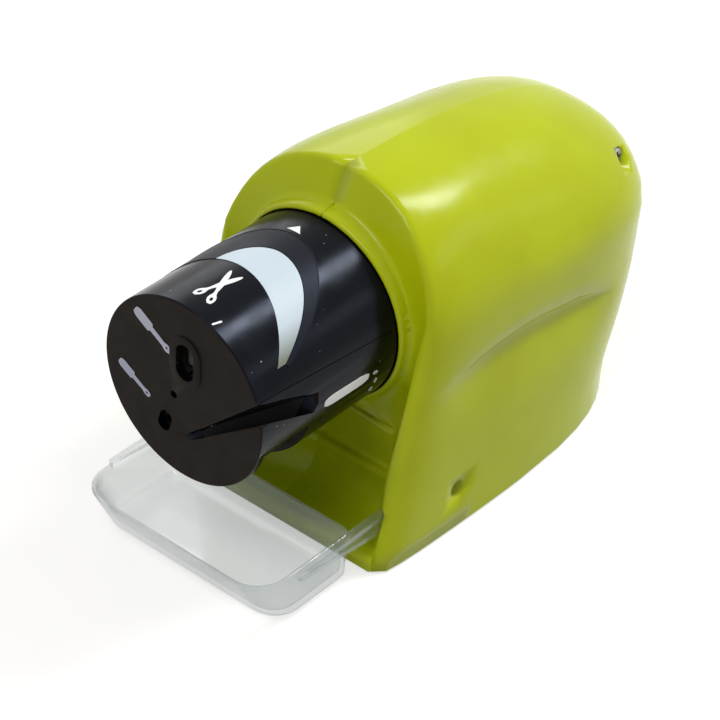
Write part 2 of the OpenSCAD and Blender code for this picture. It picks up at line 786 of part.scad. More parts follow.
// Battery pack: box, four cells, springs and plates
module battery_box() {
    color("#2e3234") difference() {
        block([-box_in_x - box_wall, box_in_x + box_wall],
            [pack_y - box_in_y - box_wall, pack_y + box_in_y + box_wall], [plate_top, box_top + box_wall]);
        block([-box_in_x, box_in_x], [pack_y - box_in_y, pack_y + box_in_y], [plate_top - cut, box_top]);
    }
    color("#2e3234") block([-cell_len / 4, cell_len / 4],
        [pack_y - cell_gap + pilot_play, pack_y + cell_gap - pilot_play],
        [cell_z[0], box_top + box_wall / 2]);
}

module cell(y, z, s) {
    translate([0, y, z]) rotate([0, s * 90, 0]) {
        color("#8f7a3a") translate([0, 0, -cell_len / 2])
            cylinder(r = cell_r - 0.15, h = cell_len - button_t - 0.2);
        color("#8f7a3a") translate([0, 0, -cell_len / 2 + 0.6])
            cylinder(r = cell_r, h = cell_len - button_t - 1.4);
        color("#8f7a3a") translate([0, 0, cell_len / 2 - button_t - 0.2])
            cylinder(r = button_r, h = button_t + 0.2);
    }
}

module cell_front_low() { cell(cell_y[0], cell_z[0], 1); }

module cell_front_high() { cell(cell_y[0], cell_z[1], -1); }

module cell_rear_low() { cell(cell_y[1], cell_z[0], -1); }

module cell_rear_high() { cell(cell_y[1], cell_z[1], 1); }

function cell_spots() = [[cell_y[0], cell_z[0], 1], [cell_y[0], cell_z[1], -1], [cell_y[1], cell_z[0], -1],
    [cell_y[1], cell_z[1], 1]];

// A tube of few sides that follows points, each ring square to the path
function unit(v) = v / norm(v);
function tube_ring(p, t, r, sides, ref) = let (a = unit(cross(t, ref)), b = cross(t, a))
    [for (j = [0 : sides - 1]) p + r * (cos(360 * j / sides) * a + sin(360 * j / sides) * b)];

module tube(path, r, sides, ref) {
    last = len(path) - 1;
    points = [for (i = [0 : last]) each tube_ring(path[i],
        unit(path[min(last, i + 1)] - path[max(0, i - 1)]), r, sides, ref)];
    skin_faces = [for (i = [0 : last - 1]) for (j = [0 : sides - 1]) let (k = (j + 1) % sides) each
        [[i * sides + j, (i + 1) * sides + k, i * sides + k],
            [i * sides + j, (i + 1) * sides + j, (i + 1) * sides + k]]];
    polyhedron(points = points, faces = concat([[for (j = [0 : sides - 1]) j]], skin_faces,
        [[for (j = [sides - 1 : -1 : 0]) last * sides + j]]));
}

// Even curve through points chosen by hand
function curve_point(p, i, t) = let (a = p[max(0, i - 1)], b = p[i], c = p[i + 1],
    d = p[min(len(p) - 1, i + 2)])
    0.5 * (2 * b + (c - a) * t + (2 * a - 5 * b + 4 * c - d) * t * t + (3 * b - a - 3 * c + d) * t * t * t);
function curve(p) = concat([for (i = [0 : len(p) - 2]) for (k = [0 : lead_steps - 1])
    curve_point(p, i, k / lead_steps)], [p[len(p) - 1]]);

module contact_springs() {
    count = spring_turns * spring_steps;
    room = contact_room - contact_t - 2 * spring_wire;
    color("#c9ccce") for (c = cell_spots())
        tube([for (i = [0 : count]) let (q = i / count, r = mix(spring_r0, spring_r1, q),
        a = 360 * i / spring_steps)
        [-c[2] * (box_in_x - contact_t - spring_wire - room * q), c[0] + r * cos(a), c[1] + r * sin(a)]],
            spring_wire, spring_sides, [1, 0, 0]);
}

module contact_plates() {
    half = contact_size / 2;
    color("#c9ccce") for (c = cell_spots()) {
        for (s = [-1, 1]) translate([s * (box_in_x - contact_t / 2), c[0], c[1]])
            cube([contact_t, contact_size, contact_size], center = true);
        translate([c[2] * (box_in_x - contact_room / 2 - contact_t / 2), c[0], c[1]]) rotate([0, 90, 0])
            cylinder(r = dimple_r, h = contact_room - contact_t, center = true);
    }
}

// Motor
module motor_can() {
    color("#b9bcbe") difference() {
        union() {
            rod(motor_r, motor_y, motor_y + motor_len);
            rod(boss_r, motor_y - boss_t, motor_y + cut);
        }
        rod(motor_r - motor_wall, motor_y + motor_wall, motor_y + motor_len + cut);
        rod(shaft_r + spindle_play, motor_y - boss_t - cut, motor_y + over);
        for (s = [-1, 1]) translate([s * motor_screw_x, 0, 0])
            rod(small_screw_r + pilot_play, motor_y - cut, motor_y + over);
    }
}

module motor_magnets() {
    color("#3a3c40") for (turn = [-60, 120]) translate([0, 0, axis_h]) rotate([-90, 0, 0])
        rotate([0, 0, turn]) rotate_extrude(angle = 120)
        polygon([[magnet_r, rotor_y0 - magnet_over], [motor_r - motor_wall, rotor_y0 - magnet_over],
            [motor_r - motor_wall, rotor_y0 + rotor_len + magnet_over],
            [magnet_r, rotor_y0 + rotor_len + magnet_over]]);
}

module motor_end_cap() {
    color("#1d1f21") difference() {
        union() {
            rod(motor_r - motor_wall - pilot_play, motor_y + motor_len - cap_seat, motor_y + motor_len);
            rod(motor_r - motor_wall / 2, motor_y + motor_len, terminal_y);
            rod(boss_r, terminal_y - cut, terminal_y + cap_boss_t);
        }
        rod(shaft_r + spindle_play, motor_y, terminal_y + boss_r);
        rod(commutator_r + cut, motor_y, terminal_y - cap_floor);
    }
}

module motor_terminals() {
    color("#c9a24a") for (s = [-1, 1]) translate([s * terminal_x, terminal_y + terminal_len / 2, axis_h])
        cube([terminal_t, terminal_len, terminal_w], center = true);
}

module motor_bracket() {
    color("#a9adb0") difference() {
        block([-bracket_x, bracket_x], [bracket_y, bracket_y + bracket_t], bracket_z);
        rod(boss_r + pilot_play, bracket_y - cut, motor_y + cut);
        for (s = [-1, 1]) translate([s * motor_screw_x, 0, 0])
            rod(small_screw_r + hole_play, bracket_y - cut, motor_y + cut);
        for (s = [-1, 1]) translate([s * vent_x, 0, 0]) rod(vent_r, bracket_y - cut, motor_y + cut);
    }
}

module motor_screws() {
    color("#9a9ea2") for (s = [-1, 1]) translate([s * motor_screw_x, bracket_y, axis_h]) rotate([-90, 0, 0])
        screw_form(small_screw_r, [small_head_r, small_head_t], bracket_t + motor_wall, small_screw_r / 2);
}

// Turning drive line
module motor_rotor() {
    color("#8a8d90") rod(shaft_r, coupling_y0 + shaft_in, terminal_y + cap_boss_t);
    color("#6d4a2c") difference() {
        rod(rotor_r, rotor_y0, rotor_y0 + rotor_len);
        rod(shaft_r, rotor_y0 - cut, rotor_y0 + rotor_len + cut);
        for (turn = [0, 120, 240]) translate([0, 0, axis_h]) rotate([0, turn, 0])
            block([-rotor_slot_w / 2, rotor_slot_w / 2],
                [rotor_y0 - cut, rotor_y0 + rotor_len + cut], [rotor_slot_r, rotor_r + cut]);
    }
    color("#b46b35") difference() {
        rod(commutator_r, rotor_y0 + rotor_len + commutator_gap, terminal_y - cap_t);
        rod(shaft_r, rotor_y0, terminal_y);
    }
}

module shaft_coupling() {
    color("#c7a75a") difference() {
        rod(coupling_r, coupling_y0, coupling_y1);
        rod(spindle_r, coupling_y0 - cut, spindle_y1);
        rod(shaft_r, coupling_y0, coupling_y1 + cut);
    }
}

module spindle() {
    color("#b5b8bb") rod(spindle_r, spindle_y0, spindle_y1);
}

module wheel_hub() {
    color("#8d9194") difference() {
        union() {
            rod(hub_r, wheel_y, wheel_y + wheel_w);
            rod(hub_flange_r, wheel_y + wheel_w, wheel_y + wheel_w + hub_flange_t);
        }
        rod(spindle_r, wheel_y - cut, 0);
    }
}

module grinding_wheel() {
    color("#d9d3c6") difference() {
        rod(wheel_r, wheel_y, wheel_y + wheel_w);
        rod(hub_r, wheel_y - cut, wheel_y + wheel_w + cut);
    }
}

module hub_nut() {
    color("#9a9ea2") difference() {
        translate([0, wheel_y, axis_h]) rotate([90, 0, 0])
            cylinder(r = nut_flats_r, h = wheel_y - spindle_y0 - nut_in, $fn = 6);
        rod(spindle_r, spindle_y0 - cut, wheel_y + cut);
    }
}

// Ring that holds the neck of the head
module neck_bearing() {
    y0 = ring_y;
    y1 = ring_y + ring_t;
    m = ring_y + ring_t / 2;
    color("#e8e6de") turned([[neck_r + neck_play, y0], [ring_r, y0], [ring_r, m - ring_flange_t / 2],
        [ring_flange_r, m - ring_flange_t / 2],
        [ring_flange_r, m + ring_flange_t / 2], [ring_r, m + ring_flange_t / 2], [ring_r, y1],
            [neck_r + neck_play, y1]]);
}

module friction_washer() {
    y0 = ring_y + ring_t;
    color("#b9bcbe") turned([[neck_r + fit, y0], [retainer_r, y0], [retainer_r, y0 + washer_t],
        [neck_r + fit, y0 + washer_t]]);
}

// Head: drum, neck, retainer and inserts
slot_c = [cos(slot_angle), sin(slot_angle)];
slot_n = [sin(slot_angle), -cos(slot_angle)];
function slot_point(s, y, side, grow) = let (
    middle = slot_off + slot_fan * (s - slot_start) + tan(slot_tilt) * (y - face_y),
    half = slot_w / 2 + slot_spread * (s - slot_start) + grow,
    p = s * slot_c + (middle + side * half) * slot_n) [p[0], y, axis_h + p[1]];

// The slot as a solid between its two walls, from the line along its bottom outwards
module slot_form(grow) {
    run = (slot_back_s - slot_start) / (slot_back - face_y);
    deep = grow * run;
    outline = [[slot_start - slot_front_run * run - deep, face_y - slot_front_run],
        [slot_back_s - deep, slot_back], [slot_back_s - deep + grow * run, slot_back + grow],
        [slot_far, slot_back + grow], [slot_far, face_y - slot_front_run]];
    n = len(outline);
    points = [for (side = [-1, 1]) for (o = outline) slot_point(o[0], o[1], side, grow)];
    polyhedron(points = points, faces = concat([[for (i = [0 : n - 1]) i],
        [for (i = [n - 1 : -1 : 0]) n + i]],
        [for (i = [0 : n - 1]) [(i + 1) % n, i, n + i, n + (i + 1) % n]]));
}

module head_barrel() {
    f = face_y;
    color("#17181a") difference() {
        union() {
            turned([[0, f], [head_r - edge_round, f], [head_r - 0.47 * edge_round, f + 0.1 * edge_round],
                [head_r - 0.1 * edge_round, f + 0.47 * edge_round], [head_r, f + edge_round],
                [head_r, neck_y], [seat_r, neck_y], [seat_r, disc_y], [head_r - head_wall, disc_y],
                    [head_r - head_wall, f + face_t], [0, f + face_t]]);
            for (turn = head_boss_turns) intersection() {
                rod(head_r - cut, face_y, disc_y);
                translate([0, 0, axis_h]) rotate([0, turn, 0])
                    translate([0, disc_y - head_boss_len, boss_ring_r]) rotate([-90, 0, 0])
                    cylinder(r = head_boss_r, h = head_boss_len);
            }
            facing(f - driver_rim_t, driver_rim_t + cut) capsule(driver_a, driver_b, driver_r + driver_rim);
        }
        facing(f - cut, face_t + over) {
            capsule(driver_a, driver_b, driver_r);
            capsule(pick_a, pick_b, pick_r);
            translate(pin_spot) circle(pin_hole_r);
        }
        slot_form(0);
        for (turn = head_boss_turns) translate([0, 0, axis_h]) rotate([0, turn, 0])
            translate([0, disc_y - head_boss_len + cut, boss_ring_r]) rotate([-90, 0, 0])
            cylinder(r = small_screw_r + pilot_play, h = head_boss_len);
        intersection() {
            turned([[head_r - window_d, window_y[0]], [head_r + cut, window_y[0]],
                [head_r + cut, window_y[1]], [head_r - window_d, window_y[1]]]);
            block([-head_r, head_r], window_y, [axis_h - head_r - cut, axis_h + window_top]);
        }
        block([-chute_x, chute_x], chute_y, [axis_h - head_r - cut, axis_h - head_r / 2]);
    }
}

module head_neck() {
    color("#17181a") difference() {
        union() {
            turned([[bush_r, nose_y], [nose_r, nose_y], [nose_r, disc_y], [seat_r - seat_play, disc_y],
                [seat_r - seat_play, neck_y], [neck_r, neck_y], [neck_r, neck_end],
                [neck_r - neck_wall, neck_end], [neck_r - neck_wall, neck_y], [bush_r, neck_y]]);
            for (turn = neck_boss_turns) translate([0, 0, axis_h]) rotate([0, turn, 0])
                translate([0, neck_y - boss_root, neck_boss_ring_r]) rotate([-90, 0, 0])
                    cylinder(r = neck_boss_r, h = neck_end - boss_drop - neck_y + boss_root);
        }
        for (turn = head_boss_turns) translate([0, 0, axis_h]) rotate([0, turn, 0])
            translate([0, disc_y - cut, boss_ring_r]) rotate([-90, 0, 0]) {
            cylinder(r = small_screw_r + hole_play, h = disc_t + over);
            translate([0, 0, cut + disc_t / 2]) cylinder(r = small_head_r + hole_play, h = head_boss_len);
        }
        for (turn = neck_boss_turns) translate([0, 0, axis_h]) rotate([0, turn, 0])
            translate([0, neck_y + over, neck_boss_ring_r]) rotate([-90, 0, 0])
            cylinder(r = small_screw_r + pilot_play, h = neck_end);
    }
}

module neck_retainer() {
    color("#2e3234") difference() {
        turned([[retainer_bore_r, retainer_y], [retainer_r, retainer_y],
            [retainer_r, retainer_y + retainer_t], [retainer_bore_r, retainer_y + retainer_t]]);
        for (turn = neck_boss_turns) translate([0, 0, axis_h]) rotate([0, turn, 0])
            translate([0, retainer_y - cut, neck_boss_ring_r]) rotate([-90, 0, 0])
            cylinder(r = small_screw_r + hole_play, h = retainer_t + over);
    }
}

module retainer_screws() {
    color("#9a9ea2") for (turn = neck_boss_turns) translate([0, 0, axis_h]) rotate([0, turn, 0])
        translate([0, retainer_y + retainer_t, neck_boss_ring_r])
        rotate([90, 0, 0]) screw_form(small_screw_r, [small_head_r, small_head_t], retainer_t + thread_len,
            small_screw_r / 2);
}

module head_screws() {
    color("#9a9ea2") for (turn = head_boss_turns) translate([0, 0, axis_h]) rotate([0, turn, 0])
        translate([0, disc_y + disc_t / 2, boss_ring_r])
        rotate([90, 0, 0]) screw_form(small_screw_r, [small_head_r, small_head_t], disc_t / 2 + thread_len,
            small_screw_r / 2);
}

module spindle_bush() {
    color("#b08d4c") for (y = [nose_y, neck_y - bush_len]) difference() {
        rod(bush_r, y, y + bush_len);
        rod(spindle_r + spindle_play, y - cut, y + bush_len + cut);
    }
}

module knife_guide() {
    color("#3b4044") difference() {
        intersection() {
            slot_form(guide_wall);
            rod(guide_r, guide_front, guide_back);
        }
        slot_form(0);
        rod(wheel_r + wheel_room, wheel_y - wheel_room, wheel_y + wheel_w + wheel_room);
    }
}

module driver_guide() {
    y0 = guide_front;
    color("#3b4044") difference() {
        rod(driver_guide_r, y0, y0 + driver_guide_t);
        facing(y0 - cut, driver_guide_t + over) {
            capsule(driver_a, driver_b, driver_r);
            capsule(pick_a, pick_b, pick_r);
            circle(nut_room_r);
        }
        slot_form(guide_wall + pilot_play);
    }
}

// Printed marks: places on the drum are a turn from the top and a distance from the collar plane
function band_outer(t) = let (q = t / band_turn)
    -band_front - band_arch * q * q - band_tip * pow(abs(q), band_tip_n);
function band_inner(t) = let (q = (t + band_lean_turn) / band_turn) -band_back - band_back_arch * q * q;
function crescent_outer(t) = t < crescent_top_turn
    ? -crescent_start + crescent_rise * quad((crescent_top_turn - t) / crescent_rise_turn, crescent_rise_n)
    : crescent_rise - crescent_start
        - crescent_fall * pow((t - crescent_top_turn) / crescent_fall_turn, crescent_fall_n);
function on_drum(p, r) = [r * sin(p[0]), p[1], axis_h + r * cos(p[0])];
function degrees(arc) = arc / (2 * PI * head_r) * 360;

// A thin patch between two lines of places on the drum
module drum_patch(a, b, lift) {
    last = len(a) - 1;
    low = head_r + print_gap + lift;
    high = low + print_t;
    points = [for (i = [0 : last]) each [on_drum(a[i], low), on_drum(b[i], low), on_drum(b[i], high),
        on_drum(a[i], high)]];
    sides = [for (i = [0 : last - 1])
        for (j = [0 : 3]) let (k = (j + 1) % 4, m = 4 * i) each [[m + j, m + k, m + 4 + k],
        [m + j, m + 4 + k, m + 4 + j]]];
    polyhedron(points = points, faces = concat([[0, 2, 1], [0, 3, 2]], sides,
        [[4 * last, 4 * last + 1, 4 * last + 2], [4 * last, 4 * last + 2, 4 * last + 3]]));
}

// A stroke of even width along places on the drum
function stroke_side(p, i) = let (d = p[min(len(p) - 1, i + 1)] - p[max(0, i - 1)],
    v = unit([head_r * d[0] * PI / 180, d[1]])) [-v[1], v[0]];
module stroke(p, w, lift = 0) {
    sides = [for (i = [0 : len(p) - 1]) let (q = stroke_side(p, i) * w / 2) [degrees(q[0]), q[1]]];
    drum_patch([for (i = [0 : len(p) - 1]) p[i] + sides[i]], [for (i = [0 : len(p) - 1]) p[i] - sides[i]],
        lift);
}

function turns(t0, t1, n) = [for (i = [0 : n]) mix(t0, t1, i / n)];
function ring_places(c, r, n) = [for (i = [0 : n - 1])
    [c[0] + degrees(r * cos(360 * i / n - 60)), c[1] + r * sin(360 * i / n - 60)]];

function band_stations() = concat(turns(-band_turn, crescent_turns[0], 8),
    turns(crescent_turns[0], crescent_turns[1], band_steps), [band_turn]);
function band_edge(t) = t >= band_turn ? band_outer(t) - print_t
    : t > crescent_turns[0] && t < crescent_turns[1] + print_t ? crescent_outer(t) : band_inner(t);
function crescent_front(t) = crescent_outer(t) - mark_gap;
function crescent_edge(t) = min(band_inner(t), crescent_front(t) - print_t);

module band_inlay() {
    color("#4a4c4e") drum_patch([for (t = band_stations()) [t, band_outer(t)]],
        [for (t = band_stations()) [t, band_edge(t)]], 0);
}

module print_marks() {
    stations = concat(turns(crescent_turns[0], crescent_turns[1] - 2, band_steps), [crescent_turns[1]]);
    color("#e9eaec") {
        drum_patch([for (t = stations) [t, crescent_front(t)]], [for (t = stations) [t, crescent_edge(t)]],
            0);
        drum_patch([[-7.3, -9], [-2.6, -6.1], [2.2, -9]], [[-7.3, -9.4], [-2.6, -9.4], [2.2, -9.4]], 0);
        drum_patch([[-1.8, -46.4], [3.4, -41.9], [3.4, -41.1], [-1, -34.5]],
            [[0.6, -46.4], [4.7, -42.6], [4.7, -42.2], [0.4, -34.7]], 0);
        drum_patch([[8.4, -46.4], [5, -42.6], [5, -41.2], [6, -34.7]],
            [[10.4, -46.4], [6.4, -41.9], [6.2, -40.6], [7.2, -34.5]], 0);
        for (x = [-1.8, 10]) stroke(ring_places([x, -48.4], 1.4, 16), 0.7);
        stroke([[99.3, -28.6], [98.4, -22.4]], 1.9);
        drum_patch([[95.6, -21.4], [95.4, -16], [97.6, -11.2]], [[99, -21.4], [99, -16], [98.4, -11.2]], 0);
        for (d = [[[97.6, -9.9], [99.3, -7.6]], [[103.2, -7], [106.3, -7.5]],
            [[110.6, -6.6], [114.5, -7.4]]]) stroke(d, 0.7);
        for (d = [[[-17.5, 18.8], [-11.5, 16]], [[-23.6, -1.6], [-18.2, -4.4]]])
            facing(face_y - print_t, print_t) capsule(d[0], d[1], 1);
        for (d = [[[-9.8, 15.2], [-4.9, 12.8]], [[-16.6, -5.2], [-12.3, -7.5]]])
            facing(face_y - print_t, print_t) capsule(d[0], d[1], 0.45);
    }
}

// Rocker switch
module at_switch() {
    mirror([1, 0, 0]) translate([0, switch_y, switch_z]) children();
}

module switch_body() {
    inner = [switch_hole[0] / 2 - pilot_play, switch_hole[1] / 2 - pilot_play];
    color("#1d1f21") at_switch() difference() {
        union() {
            block([switch_seat_x, switch_seat_x + bezel_t], [-bezel[0] / 2, bezel[0] / 2],
                [-bezel[1] / 2, bezel[1] / 2]);
            block([switch_seat_x - switch_depth, switch_seat_x], [-inner[0], inner[0]],
                [-inner[1], inner[1]]);
        }
        block([paddle_pivot_x - 3.4, housing_w], [-5.7, 5.7], [-paddle[1] / 2 - fit, paddle[1] / 2 + fit]);
        block([switch_seat_x, housing_w], [-6.3, 6.3], [-paddle[1] / 2 - fit, paddle[1] / 2 + fit]);
        translate([paddle_pivot_x, 0, -bezel[1]]) cylinder(r = pivot_r + pivot_play, h = 2 * bezel[1]);
    }
}

module switch_rocker() {
    color("#c23b2e") at_switch() translate([paddle_pivot_x, 0, 0]) rotate([0, 0, rocker_tilt]) {
        translate([0, 0, -paddle[1] / 2]) linear_extrude(paddle[1])
            polygon([[-2.4, -4.6], [2.6, -5.5], [2, 0], [2.6, 5.5], [-2.4, 4.6]]);
        translate([0, 0, -switch_hole[1] / 2 + fit]) cylinder(r = pivot_r, h = switch_hole[1] - 2 * fit);
    }
}

module switch_terminals() {
    color("#c9a24a") at_switch() for (s = [-1, 1])
        block([switch_seat_x - switch_depth - 1.4, switch_seat_x - switch_depth],
        [s * tab_y - 0.8, s * tab_y + 0.8], [-1.5, tab_top - switch_z]);
}

module lead_positive() {
    color("#b3231f") tube(curve(positive_path), lead_r, lead_sides, lead_ref);
}

module lead_motor() {
    color("#b3231f") tube(curve(motor_path), lead_r, lead_sides, lead_ref);
}

module lead_negative() {
    color("#1a1a1c") tube(curve(negative_path), lead_r, lead_sides, lead_ref);
}

// Filings tray
module tray_form(inset, z0, z1) {
    x = [tray_w / 2 - tray_side_draft, tray_w / 2];
    y = [-tray_front + tray_draft, -tray_front];
    for (i = [0]) hull() for (s = [-1, 1]) for (k = [0, 1]) {
        r = tray_corner - 2 * (1 - k);
        translate([s * (x[k] - r), y[k] + r, k == 0 ? z0 : z1]) cylinder(r = r - inset, h = 0.01);
        translate([s * (x[k] - tray_back_corner), -tray_back - tray_back_corner, k == 0 ? z0 : z1])
            cylinder(r = tray_back_corner - inset, h = 0.01);
    }
}

// Rail of one side, which runs on as the arm that slides in the leg
module tray_arm() {
    side = [[rail_y, arm_z1], [rail_y, rail_z], [arm_end, arm_z0], [arm_end, arm_z1]];
    low = [[rail_y, rail_z], [arm_end, arm_z0], [arm_end, arm_z0 + arm_wall], [rail_y, rail_z + arm_wall]];
    translate([arm_x0, 0, 0]) rotate([90, 0, 90]) {
        linear_extrude(arm_wall) polygon(side);
        linear_extrude(arm_x1 - arm_x0) polygon(low);
    }
    block([arm_x0, arm_x1], [rail_y, arm_end], [arm_z1 - arm_wall, arm_z1]);
    block([tray_w / 2 - tray_wall, web_x], [-tray_back - 2 * tray_back_corner, floor_y - web_gap],
        [tray_z, arm_z1 - arm_wall]);
}

module tray() {
    color("#cfe0ea") difference() {
        union() {
            tray_form(0, tray_z, tray_h);
            tray_arm();
            mirror([1, 0, 0]) tray_arm();
        }
        tray_form(tray_wall, tray_z + tray_wall, tray_h + cut);
    }
}

housing_right();
housing_left();
base_plate();
rubber_feet();
housing_screws();
base_screws();
battery_door();
battery_box();
cell_front_low();
cell_front_high();
cell_rear_low();
cell_rear_high();
contact_springs();
contact_plates();
motor_can();
motor_magnets();
motor_end_cap();
motor_terminals();
motor_bracket();
motor_screws();
motor_rotor();
shaft_coupling();
spindle();
wheel_hub();
grinding_wheel();
hub_nut();
neck_bearing();
friction_washer();
head_barrel();
head_neck();
neck_retainer();
retainer_screws();
head_screws();
spindle_bush();
knife_guide();
driver_guide();
band_inlay();
print_marks();
switch_body();
switch_rocker();
switch_terminals();
lead_positive();
lead_negative();
lead_motor();
tray();
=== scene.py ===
import json
import math

import bmesh
import bpy
import numpy as np
from mathutils import Matrix, Vector
from mathutils.bvhtree import BVHTree


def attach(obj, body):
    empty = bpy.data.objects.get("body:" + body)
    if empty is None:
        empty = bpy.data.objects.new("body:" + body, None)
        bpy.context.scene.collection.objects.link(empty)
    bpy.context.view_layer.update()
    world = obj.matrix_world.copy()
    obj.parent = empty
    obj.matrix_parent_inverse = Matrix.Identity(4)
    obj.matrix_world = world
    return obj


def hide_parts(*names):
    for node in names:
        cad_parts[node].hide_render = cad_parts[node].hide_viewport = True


MM = 0.001

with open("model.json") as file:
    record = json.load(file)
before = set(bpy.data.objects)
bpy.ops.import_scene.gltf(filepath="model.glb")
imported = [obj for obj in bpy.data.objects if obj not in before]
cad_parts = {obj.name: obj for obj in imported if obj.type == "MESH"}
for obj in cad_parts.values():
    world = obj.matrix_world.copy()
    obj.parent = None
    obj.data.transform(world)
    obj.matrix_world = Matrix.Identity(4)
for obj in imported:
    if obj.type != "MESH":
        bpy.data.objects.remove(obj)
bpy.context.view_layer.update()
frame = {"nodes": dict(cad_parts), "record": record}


# Camera, from the drum's ellipses and the tray's edges in the photograph: degrees, millimetres and pixels
AZIMUTH, ELEVATION, ROLL = 39.19, 36.03, 2.24
DISTANCE, AIM, NEAR_CLIP = 821.43, (0, 30, 45), 10
FRAME_PX, FOCAL_PX, SHIFT_PX, SENSOR_W = 720, 2808.47, (-23.9, -42.6), 36


def set_camera():
    azimuth, elevation, roll = (math.radians(a) for a in (AZIMUTH, ELEVATION, ROLL))
    reach = math.cos(elevation)
    back = Vector((math.sin(azimuth) * reach, -math.cos(azimuth) * reach, math.sin(elevation)))
    level = Vector((math.cos(azimuth), math.sin(azimuth), 0))
    upright = back.cross(level)
    right = math.cos(roll) * level + math.sin(roll) * upright
    up = math.cos(roll) * upright - math.sin(roll) * level
    data = bpy.data.cameras.new("photo_camera")
    data.sensor_width = SENSOR_W
    data.lens = FOCAL_PX / FRAME_PX * SENSOR_W
    data.shift_x = SHIFT_PX[0] / FRAME_PX
    data.shift_y = SHIFT_PX[1] / FRAME_PX
    data.clip_start = NEAR_CLIP * MM
    camera = bpy.data.objects.new("photo_camera", data)
    turn = Matrix((right, up, back)).transposed()
    camera.matrix_world = Matrix.Translation((Vector(AIM) + back * DISTANCE) * MM) @ turn.to_4x4()
    bpy.context.scene.collection.objects.link(camera)
    bpy.context.scene.camera = camera


set_camera()


# Small tools for materials
def linear(code):
    """The linear colour of an sRGB hex value."""
    parts = [int(code[i:i + 2], 16) / 255 for i in (1, 3, 5)]
    return [p / 12.92 if p <= 0.04045 else ((p + 0.055) / 1.055) ** 2.4 for p in parts] + [1]


def add(tree, kind, links=None, sets=None, **settings):
    """Adds a node with its settings, its socket values and its links."""
    n = tree.nodes.new(kind)
    for key, value in settings.items():
        setattr(n, key, value)
    for key, value in (sets or {}).items():
        n.inputs[key].default_value = value
    for key, source in (links or {}).items():
        tree.links.new(source, n.inputs[key])
    return n


def new_material(name):
    m = bpy.data.materials.new(name)
    m.use_nodes = True
    m.node_tree.nodes.clear()
    return m, m.node_tree


# Materials: the sizes of drift, wear and grain are in millimetres of the real surface
PER_M = 1000
DRIFT_MM, SHINE_MM = 22, 6
NOISE_SPAN = {"From Min": 0.3, "From Max": 0.7}
PLASTIC_IOR = 1.5
# Dust: one cell in two holds a pale speck with a radius of up to 0.08 cells
SPECK_PITCH_MM, SPECK_R, SPECK_SHARE, SPECK_COLOUR = 3, 0.08, 0.5, "#C9CCD2"
# Clear wall: shares of milk and of mirror, face on and where it turns away, and how late they rise
MILK, MILK_N, MIRROR, MIRROR_N = (0.04, 0.8), 2.5, (0.05, 0.6), 5.0
FLOW_MM, FLOW_DEPTH_MM, RUB_MM, CLEAR_GLOSS = 14, 0.02, 5, (0.04, 0.09)
# Crescent: painted shade, grey below the first height and bluish white above the second
PAINTED_SHADE_FROM, PAINTED_SHADE_TO, INK_GRAIN_MM, INK_DEPTH_MM, INK_GLOSS = 81, 87, 0.5, 0.004, (0.4, 0.52)


def surface(tree, wear, relief, gloss, depth_mm):
    """Roughness that follows one noise, and a relief that follows another."""
    shine = add(tree, "ShaderNodeMapRange", {"Value": wear.outputs["Fac"]},
                {**NOISE_SPAN, "To Min": gloss[0], "To Max": gloss[1]})
    bump = add(tree, "ShaderNodeBump", {"Height": relief.outputs["Fac"]},
               {"Strength": 1.0, "Distance": depth_mm * MM})
    return {"Roughness": shine.outputs["Result"], "Normal": bump.outputs["Normal"]}


def moulded(name, dark, light, gloss, grain_mm, grain_depth_mm, level=0.5, dust=0.0, tint="#FFFFFF"):
    """Injection-moulded plastic: the colour drifts, the gloss varies and the tool's skin shows as grain."""
    m, tree = new_material(name)
    place = add(tree, "ShaderNodeTexCoord").outputs["Object"]
    cloud = add(tree, "ShaderNodeTexNoise", {"Vector": place}, {"Scale": PER_M / DRIFT_MM, "Detail": 2.0})
    drift = add(tree, "ShaderNodeMapRange", {"Value": cloud.outputs["Fac"]}, NOISE_SPAN)
    colour = add(tree, "ShaderNodeMix", {"Factor": drift.outputs["Result"]},
                 {"A": linear(dark), "B": linear(light)}, data_type="RGBA")
    wear = add(tree, "ShaderNodeTexNoise", {"Vector": place}, {"Scale": PER_M / SHINE_MM, "Detail": 3.0})
    grain = add(tree, "ShaderNodeTexNoise", {"Vector": place}, {"Scale": PER_M / grain_mm, "Detail": 2.0})
    skin_colour = colour.outputs["Result"]
    if dust:
        cells = add(tree, "ShaderNodeTexVoronoi", {"Vector": place}, {"Scale": PER_M / SPECK_PITCH_MM})
        chance = add(tree, "ShaderNodeSeparateColor", {"Color": cells.outputs["Color"]})
        size = add(tree, "ShaderNodeMath", {0: chance.outputs["Green"]}, {1: SPECK_R}, operation="MULTIPLY")
        speck = add(tree, "ShaderNodeMath", {0: cells.outputs["Distance"], 1: size.outputs[0]},
                    operation="LESS_THAN")
        kept = add(tree, "ShaderNodeMath", {0: chance.outputs["Red"]}, {1: SPECK_SHARE},
                   operation="GREATER_THAN")
        shown = add(tree, "ShaderNodeMath", {0: speck.outputs[0], 1: kept.outputs[0]}, operation="MULTIPLY")
        amount = add(tree, "ShaderNodeMath", {0: shown.outputs[0]}, {1: dust}, operation="MULTIPLY")
        dusty = add(tree, "ShaderNodeMix", {"Factor": amount.outputs[0], "A": skin_colour},
                    {"B": linear(SPECK_COLOUR)}, data_type="RGBA")
        skin_colour = dusty.outputs["Result"]
    skin = surface(tree, wear, grain, gloss, grain_depth_mm)
    # tint colours the reflections; any tint but white is a painted reflection of coloured surroundings
    shader = add(tree, "ShaderNodeBsdfPrincipled", {"Base Color": skin_colour, **skin},
                 {"IOR": PLASTIC_IOR, "Specular IOR Level": level, "Specular Tint": linear(tint)})
    add(tree, "ShaderNodeOutputMaterial", {"Surface": shader.outputs["BSDF"]})
    return m


